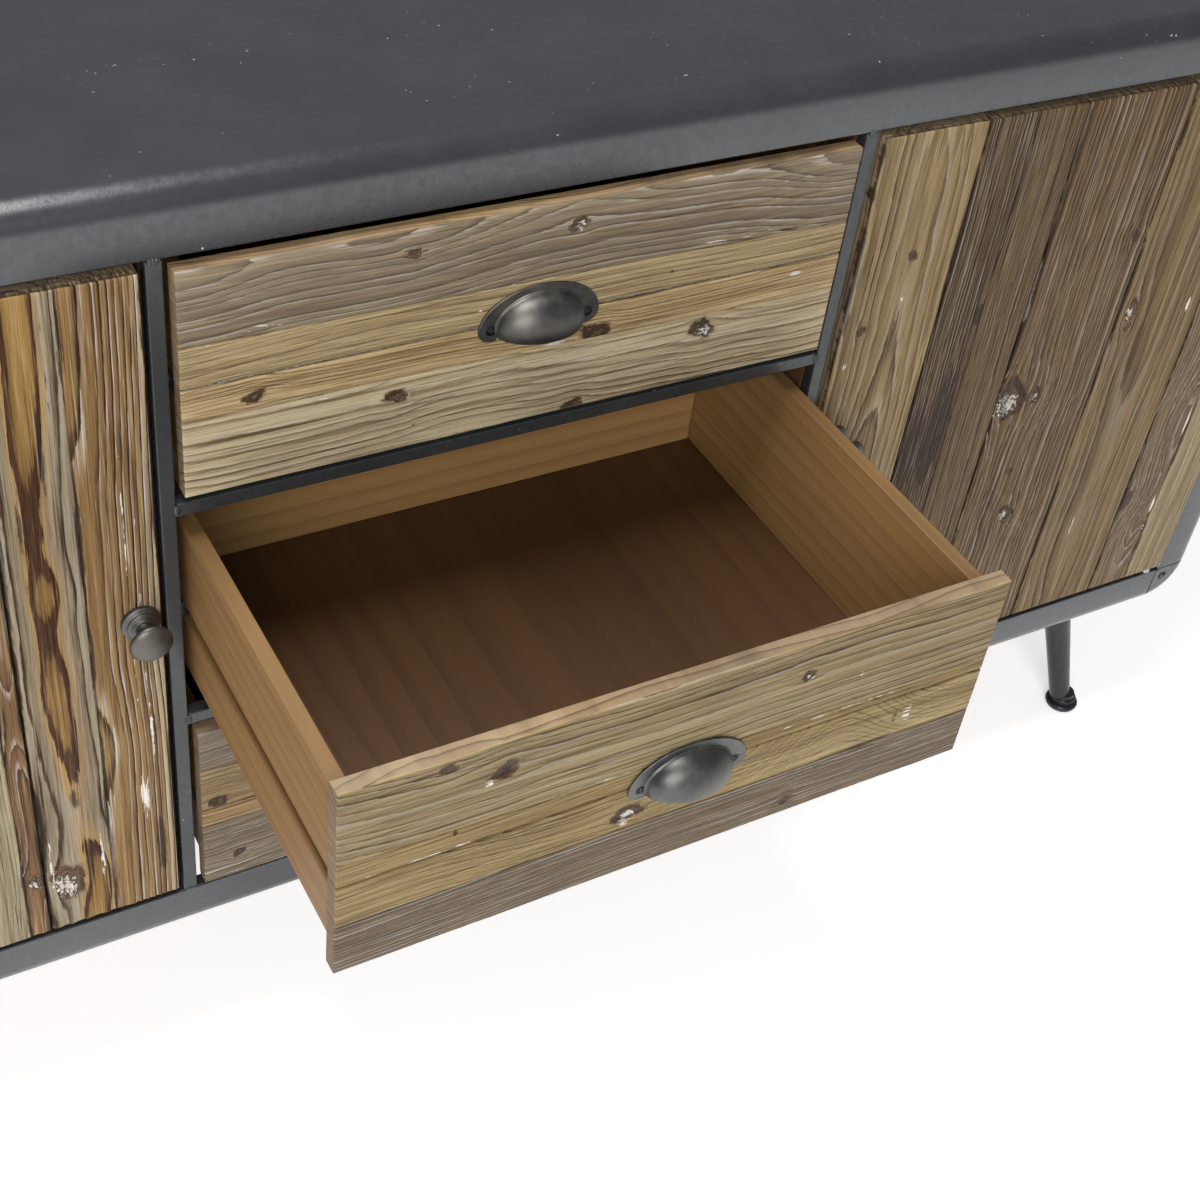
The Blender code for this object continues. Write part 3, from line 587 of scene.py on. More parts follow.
INNER_ALONG_X = planed_board("inner_board_crosswise", "X", 0.010, (104, 72, 42), (80, 52, 29))
INNER_ALONG_Z = planed_board("inner_board_upright", "Z", 0.011, (98, 68, 40), (76, 50, 28))
for hand in ("left", "right"):
    welded_edges(hand + "_divider", 0.0006, INNER_ALONG_Z)
    welded_edges(hand + "_bay_floor", 0.0006, INNER_ALONG_X)
    welded_edges(hand + "_shelf", 0.0010, INNER_ALONG_X)
welded_edges("back_panel", 0.0004, INNER_ALONG_X)

# Four turned steel pins carry each shelf.
PIN_LOW = 0.003
for hand in ("left", "right"):
    low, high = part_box(hand + "_shelf")
    ends = (
        ("outer", low.x, 1), ("inner", high.x, -1)
    ) if hand == "left" else (("inner", low.x, 1), ("outer", high.x, -1))
    for end_name, x, inward in ends:
        for spot_name, y in (("front", low.y + 0.035), ("rear", high.y - 0.035)):
            profile = [(0, 0), (0.0028, 0), (0.0028, 0.009), (0.0022, 0.0098), (0, 0.0100)]
            turned(
                f"{hand}_shelf_{end_name}_{spot_name}_pin",
                profile,
                (x, y, low.z - PIN_LOW),
                (inward, 0, 0),
                BLACK_SCREW,
                "carcass",
                20,
            )

# ---------------------------------------------------------------- drawer runners
# Black plastic strips screwed to the dividers, on which the grooves of the drawer sides slide.


def runner_finish():
    finish = Finish("black_runner", 0.42)
    rubbed = finish.noise(finish.stretched(finish.place(), (400.0, 12.0, 400.0)))
    finish.colour(finish.mix(finish.step(rubbed, 0.4, 0.8), paint(22, 22, 23), paint(52, 51, 50)))
    finish.rough(finish.step(rubbed, 0.3, 0.8, 0.34, 0.55))
    return finish.material


RUNNER_FINISH = runner_finish()
DRAWERS = ("upper_drawer", "middle_drawer", "lower_drawer")
for drawer in DRAWERS:
    for hand in ("left", "right"):
        welded_edges(f"{drawer}_{hand}_runner", 0.0012, RUNNER_FINISH)

# ---------------------------------------------------------------- drawer fronts
# Each front is glued up from strips of old fir roof boards: brushed until the hard rings stand
# proud, oiled, and rubbed with a little white in the hollows. Two boards meet in an open joint.

EASE = 0.0011  # round edge of a strip
ACROSS_STEP = 0.0010
ALONG_STEP = 0.0032
COARSE = 4  # the back has one point for this many of the front's


class Strip:
    """How one strip of fir was sawn and how it has weathered.

    edges: its two edges across the board, each (at the start, at the end) of its length.
    heart: (across, depth) of the tree's heart below the face.
    ring: width of a year's growth. uneven: how much the rings vary.
    fine: (radius, ring) of closer rings outside a radius.
    rise and drift: stops (along, depth) and (along, across) that the heart follows instead.
    swells: (along, height, length) where the heart comes up or sinks: flames and ovals.
    tint: its pale wood. lines: strength of its dark wood. sap: (radius, tint) of pale sapwood
    outside that radius.
    white: white rubbed into the hollows. grey: weathering. wash: specks of old whitewash.
    knots: (along, across, radius, white).
    stains and chalk: (along, across, half length, half width, strength).
    joint: (white, dark) left along its two edges. splits: (start, end, across, width).
    """

    def __init__(self, seed, edges, heart, ring, tint, **looks):
        self.seed = seed
        self.edges = edges
        self.heart = heart
        self.ring = ring
        self.tint = tint
        self.lines = looks.get("lines", 0.7)
        self.white = looks.get("white", 0.3)
        self.grey = looks.get("grey", 0.0)
        self.wash = looks.get("wash", 0.12)
        self.relief = looks.get("relief", 0.0003)
        self.wander = looks.get("wander", 0.003)
        self.sink = looks.get("sink", 0.0)
        self.swells = looks.get("swells", ())
        self.knots = looks.get("knots", ())
        self.stains = looks.get("stains", ())
        self.chalk = looks.get("chalk", ())
        self.splits = looks.get("splits", ())
        self.sap = looks.get("sap")
        self.rise = looks.get("rise")
        self.drift = looks.get("drift")
        self.fine = looks.get("fine")
        self.uneven = looks.get("uneven", 1.0)
        self.edge_tint = looks.get("edge_tint", (140, 118, 88))
        self.joint = looks.get("joint", (0.30, 0.45))


def ripple(along, rng, size, longest):
    """A wandering line: a few slow waves, each shorter and smaller than the last."""
    total = np.zeros_like(along)
    for n in range(4):
        total += size / (n + 1) * np.sin(
            2 * math.pi * along * (n + 1) / longest + rng.uniform(0, 2 * math.pi)
        )
    return total


def spot(along, across, centre_along, centre_across, half_along, half_across):
    return np.exp(
        -(((along - centre_along) / half_along) ** 2) - ((across - centre_across) / half_across) ** 2
    )


def lumpy_reach(lengthwise, crosswise, shape):
    """Distance from a knot's middle, longer along the grain and lumpy round its edge."""
    turn = np.arctan2(crosswise, lengthwise)
    lumps = 1 + 0.16 * np.sin(2 * turn + 90 * shape) + 0.14 * np.sin(
        3 * turn + 200 * shape
    ) + 0.08 * np.sin(7 * turn)
    return np.hypot(lengthwise / 1.25, crosswise) * lumps


def followed(stops, along):
    """A smooth line through stops (along, value)."""
    places, values = zip(*stops)
    fine = np.linspace(places[0], places[-1], 400)
    line = np.interp(fine, places, values)
    for _ in range(3):
        line = np.convolve(np.pad(line, 3, mode="edge"), np.ones(7) / 7, mode="valid")
    return np.interp(along, fine, line)


def grown(strip, along, across, below):
    """Growth rings, marks and colours at places on a strip, below the face by a depth."""
    rng = np.random.default_rng(strip.seed)
    heart_across = strip.heart[0] + ripple(along, rng, strip.wander, 0.62)
    depth = strip.heart[1] + strip.sink * along + ripple(along, rng, strip.wander * 0.7, 0.44) + below
    if strip.rise:
        depth = followed(strip.rise, along) + ripple(along, rng, strip.wander * 0.2, 0.3) + below
    if strip.drift:
        heart_across = followed(strip.drift, along) + ripple(along, rng, strip.wander * 0.3, 0.3)
    for at, height, length in strip.swells:
        depth = depth + height * np.exp(-(((along - at) / length) ** 2))
    pushed = np.array(across)
    knot = np.zeros_like(along)
    fill = np.zeros_like(along)
    white = np.full_like(along, strip.wash)
    for at, over, radius, filler in strip.knots:
        near = np.exp(-(((along - at) / (3.2 * radius)) ** 2))
        off = across - over
        pushed = pushed - 1.1 * radius * np.tanh(off / radius) * near * np.exp(-np.abs(off) / (3.5 * radius))
        reach = lumpy_reach(along - at, off, at)
        knot = np.maximum(knot, np.clip(1.45 - reach / radius, 0, 1))
        fill = np.maximum(
            fill,
            filler * spot(
                along, across, at + 0.3 * radius, over - 0.4 * radius, 1.7 * radius, 1.4 * radius
            )
        )
    distance = np.sqrt((pushed - heart_across) ** 2 + depth**2)
    phase = distance / strip.ring
    start = rng.uniform(0, 6, 2)
    if strip.fine:
        phase = phase + np.maximum(distance - strip.fine[0], 0) * (1 / strip.fine[1] - 1 / strip.ring)
    uneven = strip.uneven * (0.36 * np.sin(0.9 * phase + start[0]) + 0.17 * np.sin(2.3 * phase + start[1]))
    phase = phase + uneven - strip.uneven * (0.36 * math.sin(start[0]) + 0.17 * math.sin(start[1]))
    for at, over, radius, filler in strip.knots:
        reach = lumpy_reach(along - at, across - over, at)
        inside = np.clip(2.2 - 2 * reach / radius, 0, 1)
        phase = phase * (1 - inside) + inside * (reach / 0.0011)
    dark = np.zeros_like(along)
    for at, over, half_along, half_across, strength in strip.stains:
        dark = np.maximum(dark, strength * spot(along, across, at, over, half_along, half_across))
    for at, over, half_along, half_across, strength in strip.chalk:
        white = np.maximum(white, strength * spot(along, across, at, over, half_along, half_across))
    split = np.zeros_like(along)
    for start, end, over, width in strip.splits:
        line = over + ripple(along, rng, width * 0.8, 0.09)
        inside = np.clip((along - start) / 0.012, 0, 1) * np.clip((end - along) / 0.012, 0, 1)
        split = np.maximum(split, inside * np.exp(-(((across - line) / width) ** 2)))
    tint = np.array(paint(*strip.tint)[:3])[None, :] * np.ones((len(along), 1))
    if strip.sap:
        pale = 1 / (1 + np.exp(-(distance - strip.sap[0]) / 0.0006))
        tint = tint * (1 - pale[:, None]) + np.array(paint(*strip.sap[1])[:3]) * pale[:, None]
    return phase, knot, white, dark, split, tint, fill


def ring_height(phase):
    """How proud the wood stands: low in the soft early wood, high on the dark line."""
    part = phase - np.floor(phase)
    return np.clip(part * 1.25, 0, 1) ** 1.5 * np.clip((1 - part) / 0.10, 0, 1)


def eased_steps(length, step, ease, unit):
    """Places from 0 to length: close together over a round edge at each end, even between them."""
    curve = [ease * (1 - math.cos(math.radians(a))) for a in (0, 30, 60)]
    even = max(unit, unit * round((length - 2 * ease) / step / unit))
    count = even - 6 if even > 12 else even + unit - 6 if even + unit > 8 else even
    between = list(np.linspace(ease, length - ease, count + 1))
    return np.array(curve + between + [length - c for c in reversed(curve)])


def edge_drop(distance, ease):
    inside = np.clip(ease - distance, 0, ease)
    return ease - np.sqrt(np.maximum(ease**2 - inside**2, 0))


def fir_strip(name, strip, origin, along, across, out, length, thick, finish, body):
    """A strip of fir: a fine relief in front, carried round eased edges to a plain back."""
    steps_along = eased_steps(length, ALONG_STEP, EASE, COARSE)
    width = strip.edges[1][0] - strip.edges[0][0]
    steps_across = eased_steps(width, ACROSS_STEP, EASE, COARSE) / width
    rows, cols = len(steps_along), len(steps_across)
    share = steps_along / length
    low = strip.edges[0][0] + (strip.edges[0][1] - strip.edges[0][0]) * share
    high = strip.edges[1][0] + (strip.edges[1][1] - strip.edges[1][0]) * share
    u = np.repeat(steps_along, cols)
    v = (low[:, None] + (high - low)[:, None] * steps_across[None, :]).ravel()
    to_side = (steps_across[None, :] * (high - low)[:, None]).ravel()
    from_side = np.minimum(to_side, np.repeat(high - low, cols) - to_side)
    from_end = np.minimum(u, length - u)
    drop = np.maximum(edge_drop(from_side, EASE), edge_drop(from_end, EASE))
    phase, knot, white, dark, split, tint, fill = grown(strip, u, v, 0.0)
    near_joint = np.exp(-((from_side / 0.0023) ** 2)) * (
        0.62 + 0.38 * np.sin(u * 41 + strip.seed) * np.sin(u * 13)
    )
    white = np.maximum(white, strip.joint[0] * near_joint)
    dark = np.maximum(dark, strip.joint[1] * near_joint)
    rng = np.random.default_rng(strip.seed + 500)
    sway = ripple(u, rng, 0.00006, 0.05) + ripple(v, rng, 0.00005, 0.011)
    hollow = strip.relief * (1 - ring_height(phase)) * (1 - 0.6 * knot)
    w = -drop - hollow - 0.0012 * split - 0.00035 * dark - np.abs(sway)
    w = np.maximum(w, -0.35 * thick)

    frame_axes = [np.array(axis, float) for axis in (along, across, out)]
    keep_rows = np.arange(0, rows, COARSE)
    keep_cols = np.arange(0, cols, COARSE)
    index = np.arange(rows * cols).reshape(rows, cols)
    ring_fine = np.concatenate([index[:, 0], index[-1, 1:], index[::-1, -1][1:], index[0, ::-1][1:-1]])
    ring_kept = np.concatenate([
        index[keep_rows, 0],
        index[-1, keep_cols][1:],
        index[keep_rows[::-1], -1][1:],
        index[0, keep_cols[::-1]][1:-1],
    ])
    rim_w = -(EASE + 0.0009)
    back = index[np.ix_(keep_rows, keep_cols)]
    flat_back = back.ravel()
    us = np.concatenate([u, u[ring_kept], u[flat_back]])
    vs = np.concatenate([v, v[ring_kept], v[flat_back]])
    ws = np.concatenate([w, np.full(len(ring_kept), rim_w), np.full(len(flat_back), -thick)])
    places = np.array(origin)[None, :] + us[:, None] * frame_axes[0] + vs[:, None] * frame_axes[1]
    places = places + ws[:, None] * frame_axes[2]

    faces = []
    for i in range(rows - 1):
        row, after = i * cols, (i + 1) * cols
        faces += [(row + j, after + j, after + j + 1, row + j + 1) for j in range(cols - 1)]
    rim_start = rows * cols
    back_start = rim_start + len(ring_kept)
    rim_count = len(ring_kept)
    fine_count = len(ring_fine)
    back_of = {kept: back_start + n for n, kept in enumerate(flat_back)}
    for k in range(rim_count):
        m = (k + 1) % rim_count
        between = [int(ring_fine[(k * COARSE + s) % fine_count]) for s in range(COARSE, -1, -1)]
        faces.append((rim_start + k, rim_start + m, *between))
        faces.append((back_of[ring_kept[k]], back_of[ring_kept[m]], rim_start + m, rim_start + k))
    wide = len(keep_cols)
    for i in range(len(keep_rows) - 1):
        for j in range(wide - 1):
            a = back_start + i * wide + j
            faces.append((a, a + 1, a + wide + 1, a + wide))

    deep = grown(strip, us[rim_start:], vs[rim_start:], -ws[rim_start:])
    edge_tint = np.array(paint(*strip.edge_tint)[:3])[None, :] * np.ones((len(us) - rim_start, 1))
    mesh = bpy.data.meshes.new(name)
    mesh.from_pydata(places.tolist(), [], faces)
    count = len(us)
    grain = np.stack([us, vs, np.full(count, strip.seed * 3.7)], 1)
    rings = np.stack([
        np.concatenate([phase, deep[0]]),
        np.concatenate([np.full(rim_start, strip.lines), np.full(count - rim_start, strip.lines * 0.7)]),
        np.concatenate([np.full(rim_start, strip.white), np.zeros(count - rim_start)]),
    ], 1)
    marks = np.stack(
        [
            np.concatenate([knot, deep[1] * 0.5]), np.concatenate([white, np.zeros(count - rim_start)]),
            np.concatenate(
                [
                    np.maximum(dark, split), np.full(rim_count, strip.joint[1] * 0.7),
                    np.zeros(len(flat_back))
                ]
            ),
        ],
        1
    )
    weather = np.stack([
        np.concatenate([np.full(rim_start, strip.grey), np.full(count - rim_start, 0.45)]),
        np.concatenate([fill, np.zeros(count - rim_start)]),
        np.zeros(count),
    ], 1)
    tones = np.concatenate([np.concatenate([tint, edge_tint]), np.ones((count, 1))], 1)
    for label, values in (("grain", grain), ("rings", rings), ("marks", marks), ("weather", weather)):
        mesh.attributes.new(label, "FLOAT_VECTOR", "POINT").data.foreach_set("vector", values.ravel())
    mesh.attributes.new("tint", "FLOAT_COLOR", "POINT").data.foreach_set("color", tones.ravel())
    mesh.shade_smooth()
    mesh.set_sharp_from_angle(angle=math.radians(62))
    piece = bpy.data.objects.new(name, mesh)
    bpy.context.scene.collection.objects.link(piece)
    piece.data.materials.append(finish)
    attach(piece, body)
    return piece


def brushed_fir():
    """Old fir: dark year lines over pale wood, fine fibres, white in the hollows, stains and knots."""
    finish = Finish("brushed_fir", 0.6, specular=0.18)

    def named(label):
        return finish.node("Attribute", attribute_name=label)

    def along_grain(lengthwise, crosswise, detail=4.0, roughness=0.62):
        return finish.noise(
            finish.stretched(grain, (lengthwise, crosswise, 1.0)), detail=detail, roughness=roughness
        )

    def deepened(share, under, red, green, blue):
        return finish.mix(share, under, finish.mix(1.0, under, paint(red, green, blue), "MULTIPLY"))

    def over_level(pattern, level, soft):
        high = finish.math("ADD", level, soft)
        return finish.node("MapRange", {0: pattern, 1: level, 2: high}).outputs[0]

    def product(*values):
        total = values[0]
        for value in values[1:]:
            total = finish.math("MULTIPLY", total, value)
        return total

    grain = named("grain").outputs["Vector"]
    phase, contrast, rubbed_white = finish.parts(named("rings").outputs["Vector"])
    knot, wash, stained = finish.parts(named("marks").outputs["Vector"])
    grey, filler, _ = finish.parts(named("weather").outputs["Vector"])
    tint = named("tint").outputs["Color"]
    stray = finish.math("SUBTRACT", along_grain(9.0, 90.0, 2.0), 0.5)
    ragged = finish.math("SUBTRACT", along_grain(40.0, 700.0, 3.0), 0.5)
    moved = finish.math("ADD", phase, finish.math("ADD", product(stray, 0.40), product(ragged, 0.34)))
    year = finish.math("FRACT", moved)
    number = finish.math("FLOOR", moved)
    vigour = finish.node("TexWhiteNoise", {"W": number}, noise_dimensions="1D").outputs[0]
    late = finish.curve(year, [(0.0, 0.0), (0.42, 0.05), (0.72, 0.26), (0.86, 0.90), (0.95, 1.0), (1.0, 0.0)])
    hollow = finish.curve(year, [(0.0, 1.0), (0.12, 0.85), (0.34, 0.0)])
    fibre = along_grain(22.0, 1500.0, 4.0, 0.72)
    streak = along_grain(9.0, 620.0, 4.0, 0.68)
    band = along_grain(3.2, 150.0, 3.0)
    broad = along_grain(2.2, 24.0, 2.0)
    line = product(
        late, contrast, finish.step(vigour, 0.0, 1.0, 0.50, 1.10),
        finish.step(broad, 0.30, 0.70, 0.70, 1.15)
    )
    lined = deepened(line, tint, 112, 83, 60)
    toned = deepened(finish.step(broad, 0.30, 0.75, 0.0, 0.50), lined, 206, 190, 166)
    banded = deepened(finish.step(band, 0.46, 0.68, 0.0, 0.55), toned, 190, 170, 146)
    streaky = deepened(finish.step(streak, 0.50, 0.66, 0.0, 0.75), banded, 150, 128, 104)
    fibred = deepened(finish.step(fibre, 0.48, 0.70, 0.0, 0.60), streaky, 153, 133, 110)
    light = finish.math(
        "ADD", finish.step(streak, 0.44, 0.32, 0.0, 0.34), finish.step(fibre, 0.40, 0.26, 0.0, 0.26)
    )
    pale = finish.mix(light, fibred, paint(192, 172, 130))
    greyed = finish.mix(product(grey, finish.step(band, 0.30, 0.62, 0.35, 1.0)), pale, paint(118, 110, 97))
    patch = finish.noise(finish.stretched(grain, (330.0, 420.0, 1.0)), detail=4.0, roughness=0.66)
    worn_knot = finish.math(
        "ADD", knot, product(finish.math("SUBTRACT", patch, 0.5), 1.5, finish.step(knot, 0.02, 0.3))
    )
    ruddy = finish.mix(finish.step(worn_knot, 0.02, 0.50, 0.0, 0.72), greyed, paint(112, 74, 42))
    core = finish.curve(
        worn_knot, [(0.0, 0.0), (0.30, 0.12), (0.46, 0.70), (0.56, 0.70), (0.70, 0.30), (1.0, 0.75)]
    )
    knotted = finish.mix(core, ruddy, paint(44, 33, 27))
    ringed = finish.mix(product(finish.step(knot, 0.3, 0.5), late, 0.75), knotted, paint(36, 28, 24))
    blot = along_grain(60.0, 520.0, 5.0, 0.70)
    stain_level = product(finish.math("SUBTRACT", 1.0, stained), 0.92)
    stain = product(over_level(blot, stain_level, 0.14), 0.90)
    blotted = finish.mix(stain, ringed, paint(42, 29, 19))
    pit = finish.step(finish.noise(finish.stretched(grain, (300.0, 700.0, 1.0)), detail=1.0), 0.80, 0.83)
    pitted = finish.mix(product(pit, 0.8), blotted, paint(52, 40, 30))
    chalk = along_grain(75.0, 560.0, 4.0, 0.66)
    chalk_level = finish.math("SUBTRACT", 0.86, product(wash, 0.58))
    filled_level = finish.math("SUBTRACT", 0.92, product(filler, 0.50))
    rubbed = product(hollow, rubbed_white, finish.step(streak, 0.44, 0.62, 0.06, 0.85))
    chalky = finish.math(
        "MAXIMUM", over_level(chalk, chalk_level, 0.06), over_level(patch, filled_level, 0.05)
    )
    whitened = finish.mix(product(finish.math("MAXIMUM", chalky, rubbed), 0.86), pitted, paint(214, 209, 200))
    finish.colour(whitened)
    finish.rough(finish.step(fibre, 0.3, 0.7, 0.46, 0.72))
    proud = finish.math(
        "ADD", product(late, 0.8), finish.math("ADD", product(fibre, 0.7), product(streak, 1.0))
    )
    sunk = finish.math("ADD", product(core, 0.25), product(stain, 0.5))
    finish.relief(
        finish.math("SUBTRACT", proud, finish.math("ADD", product(hollow, 0.4), sunk)), 0.0010, 0.85
    )
    return finish.material


BRUSHED_FIR = brushed_fir()
UPPER_FRONT = (
    Strip(
        11, ((0.0, 0.0), (0.0545, 0.0505)), (-0.030, 0.020), 0.0068, (185, 172, 142), lines=0.85,
        white=0.25, wander=0.005, wash=0.16, relief=0.00032,
        knots=((0.133, 0.041, 0.0045, 0.7), (0.349, 0.041, 0.0062, 0.95), (0.258, 0.003, 0.0045, 0.5)),
        stains=((0.145, 0.016, 0.003, 0.002, 0.6), (0.349, 0.030, 0.008, 0.010, 0.30)),
        chalk=((0.10, 0.050, 0.05, 0.004, 0.45),)
    ),
    Strip(
        12, ((0.0545, 0.0505), (0.077, 0.077)), (-0.060, 0.030), 0.0030, (193, 172, 131), lines=0.60,
        white=0.12, wander=0.003, wash=0.06, relief=0.00018,
        knots=((0.043, 0.063, 0.0035, 0.2), (0.268, 0.056, 0.0060, 0.1)),
        chalk=((0.417, 0.069, 0.006, 0.0025, 0.9), (0.238, 0.0545, 0.010, 0.002, 0.9))
    ),
    Strip(
        13, ((0.077, 0.077), (0.1055, 0.1015)), (0.165, 0.028), 0.0032, (156, 138, 103), lines=0.60,
        white=0.12, wander=0.003, wash=0.05, relief=0.00018,
        stains=((0.083, 0.093, 0.0022, 0.0022, 0.9), (0.318, 0.090, 0.0022, 0.0022, 0.9)),
        chalk=(
            (0.185, 0.090, 0.003, 0.0015, 0.8), (0.30, 0.1035, 0.12, 0.0012, 0.75),
            (0.03, 0.1040, 0.05, 0.0010, 0.6)
        )
    ),
    Strip(
        14, ((0.1055, 0.1015), (0.154, 0.154)), (0.156, 0.010), 0.0052, (127, 112, 89), lines=0.85,
        white=0.55, grey=0.35, wander=0.004, sink=0.01, wash=0.24, relief=0.00036,
        edge_tint=(164, 132, 90), swells=((0.06, 0.006, 0.05), (0.25, 0.008, 0.06)),
        knots=((0.140, 0.139, 0.0030, 0.3), (0.247, 0.138, 0.0042, 1.0)),
        stains=((0.40, 0.1045, 0.06, 0.0020, 0.55), (0.33, 0.1050, 0.03, 0.0015, 0.5)),
        chalk=((0.36, 0.106, 0.08, 0.003, 0.55), (0.05, 0.110, 0.06, 0.005, 0.50))
    ),
)
MIDDLE_FRONT = (
    Strip(
        21, ((0.0, 0.0), (0.0425, 0.0400)), (-0.080, 0.020), 0.0030, (98, 79, 56), lines=0.95,
        white=0.60, grey=0.25, wander=0.0015, wash=0.20, relief=0.00030, edge_tint=(150, 120, 84),
        knots=((0.31, 0.012, 0.0028, 0.3),)
    ),
    Strip(
        22, ((0.0425, 0.0400), (0.0770, 0.0770)), (0.120, 0.030), 0.0036, (151, 133, 92), lines=0.60,
        white=0.14, wander=0.004, wash=0.08, relief=0.00020, swells=((0.34, 0.05, 0.06),),
        knots=((0.187, 0.056, 0.0065, 1.0),),
        stains=((0.385, 0.058, 0.0030, 0.016, 0.62), (0.36, 0.042, 0.06, 0.0018, 0.7)),
        chalk=((0.395, 0.058, 0.006, 0.012, 0.72), (0.185, 0.050, 0.006, 0.010, 0.75))
    ),
    Strip(
        23, ((0.0770, 0.0770), (0.0950, 0.0840)), (0.150, 0.030), 0.0032, (147, 127, 86), lines=0.55,
        white=0.14, wander=0.003, wash=0.06, relief=0.00018,
        stains=((0.072, 0.091, 0.0022, 0.0030, 0.9), (0.36, 0.083, 0.07, 0.0016, 0.6)),
        chalk=((0.06, 0.079, 0.05, 0.0014, 0.8), (0.33, 0.085, 0.09, 0.0012, 0.7))
    ),
    Strip(
        24, ((0.0950, 0.0840), (0.154, 0.154)), (0.205, 0.026), 0.0068, (140, 124, 92), lines=0.95,
        white=0.32, wander=0.005, wash=0.15, relief=0.00038, edge_tint=(146, 122, 92),
        knots=((0.100, 0.131, 0.0058, 0.25), (0.064, 0.147, 0.0032, 0.4), (0.303, 0.127, 0.0035, 1.0)),
        stains=((0.100, 0.131, 0.0050, 0.0050, 0.85), (0.14, 0.0935, 0.06, 0.0014, 0.55)),
        chalk=(
            (0.090, 0.124, 0.0040, 0.0045, 0.9), (0.345, 0.113, 0.0018, 0.006, 0.8),
            (0.20, 0.093, 0.08, 0.0014, 0.6)
        )
    ),
)
LOWER_FRONT = (
    Strip(
        31, ((0.0, 0.0), (0.060, 0.0585)), (-0.060, 0.024), 0.0030, (116, 101, 80), lines=0.70,
        white=0.60, grey=0.30, wander=0.002, wash=0.26, relief=0.00026,
        knots=((0.026, 0.023, 0.0030, 0.4), (0.33, 0.030, 0.0050, 0.8))
    ),
    Strip(
        32, ((0.060, 0.0585), (0.0770, 0.0770)), (0.140, 0.030), 0.0048, (146, 122, 84), lines=0.50,
        white=0.10, wander=0.003, wash=0.05, relief=0.00016
    ),
    Strip(
        33, ((0.0770, 0.0770), (0.1180, 0.1150)), (0.190, 0.030), 0.0036, (138, 118, 86), lines=0.60,
        white=0.20, wander=0.004, wash=0.09, relief=0.00020,
        knots=((0.012, 0.083, 0.0050, 0.2), (0.27, 0.098, 0.0042, 0.5))
    ),
    Strip(
        34, ((0.1180, 0.1150), (0.154, 0.154)), (0.250, 0.020), 0.0042, (116, 104, 86), lines=0.75,
        white=0.45, grey=0.40, wander=0.003, wash=0.22, relief=0.00028, edge_tint=(150, 124, 90)
    ),
)
JOINT = 0.0008  # each board stops this far short of the filled joint
JOINT_DEPTH = 0.0016


def grey_filler():
    finish = Finish("grey_filler", 0.8)
    grit = finish.noise(finish.place(), 420.0, 4.0, 0.7)
    finish.colour(finish.mix(finish.step(grit, 0.36, 0.66), paint(58, 56, 54), paint(128, 124, 118)))
    finish.relief(grit, 0.0005, 0.7)
    return finish.material


GREY_FILLER = grey_filler()
OUT = (0.0, -1.0, 0.0)
for drawer, strips in zip(DRAWERS, (UPPER_FRONT, MIDDLE_FRONT, LOWER_FRONT)):
    low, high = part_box(drawer + "_front")
    for number, strip in enumerate(strips, 1):
        if number == 2:
            strip.edges = (strip.edges[0], tuple(v - JOINT for v in strip.edges[1]))
        if number == 3:
            strip.edges = (tuple(v + JOINT for v in strip.edges[0]), strip.edges[1])
        piece = fir_strip(
            f"{drawer}_front_strip_{number}",
            strip,
            (low.x, low.y, low.z),
            X_AXIS,
            Z_AXIS,
            OUT,
            high.x - low.x,
            high.y - low.y,
            BRUSHED_FIR,
            drawer,
        )
        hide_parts(drawer + "_front")
    seam = low.z + strips[1].edges[1][0] + JOINT
    places = []
    for i in range(61):
        x = low.x + 0.0008 + (high.x - low.x - 0.0016) * i / 60
        sag = JOINT_DEPTH + 0.00035 * math.sin(i * 1.7) * math.sin(i * 0.6)
        for z, y in (
            (-0.0012, sag + 0.001), (-0.0004, sag), (0.0004, sag), (0.0012, sag + 0.001),
            (0, sag + 0.003)
        ):
            places.append((x, low.y + y, seam + z))
    faces = [
        (i * 5 + k, i * 5 + (k + 1) % 5, i * 5 + 5 + (k + 1) % 5, i * 5 + 5 + k) for i in range(60)
        for k in range(5)
    ]
    faces += [(0, 1, 2, 3, 4), (300, 301, 302, 303, 304)]
    made_piece(drawer + "_front_filler", places, faces, GREY_FILLER, drawer)

# ---------------------------------------------------------------- drawer boxes
# Sides and backs are planed pine, oiled to honey, with the sides grooved for the runners. The floors
# are thin brown board laid in three or four widths, slid into grooves and stapled under the back.

# edge=0.55 paints the upward faces of the sides and backs darker, a painted shade on their top edges.
SIDE_PINE = planed_board(
    "drawer_pine_side", "Y", 0.0105, (142, 109, 67), (122, 89, 51), 0.48, grey=0.12, edge=0.55
)
BACK_PINE = planed_board("drawer_pine_back", "X", 0.0120, (152, 119, 75), (128, 94, 54), 0.48, edge=0.55)
FLOOR_BOARD = planed_board("drawer_floor_board", "Y", 0.0085, (76, 50, 26), (63, 40, 20), 0.46, strips=0.118)
for drawer in DRAWERS:
    welded_edges(drawer + "_left_side", 0.0009, SIDE_PINE)
    welded_edges(drawer + "_right_side", 0.0009, SIDE_PINE)
    welded_edges(drawer + "_back", 0.0009, BACK_PINE)
    welded_edges(drawer + "_bottom", 0.0004, FLOOR_BOARD)

# ---------------------------------------------------------------- cup pulls
# Each pull is one iron casting: a quarter-ball cup on an arched plate with an ear at each side,
# chamfered round its edge, blackened, and rubbed back on the cup. Two black screws hold it.

PULL_ARCH = 0.0265
PULL_LOBE = 0.0085
PULL_PLATE = 0.0018
CUP_HALF_WIDTH = 0.0305
CUP_HEIGHT = 0.0215
CUP_WALL = 0.0018
CUP_DROP = 0.005


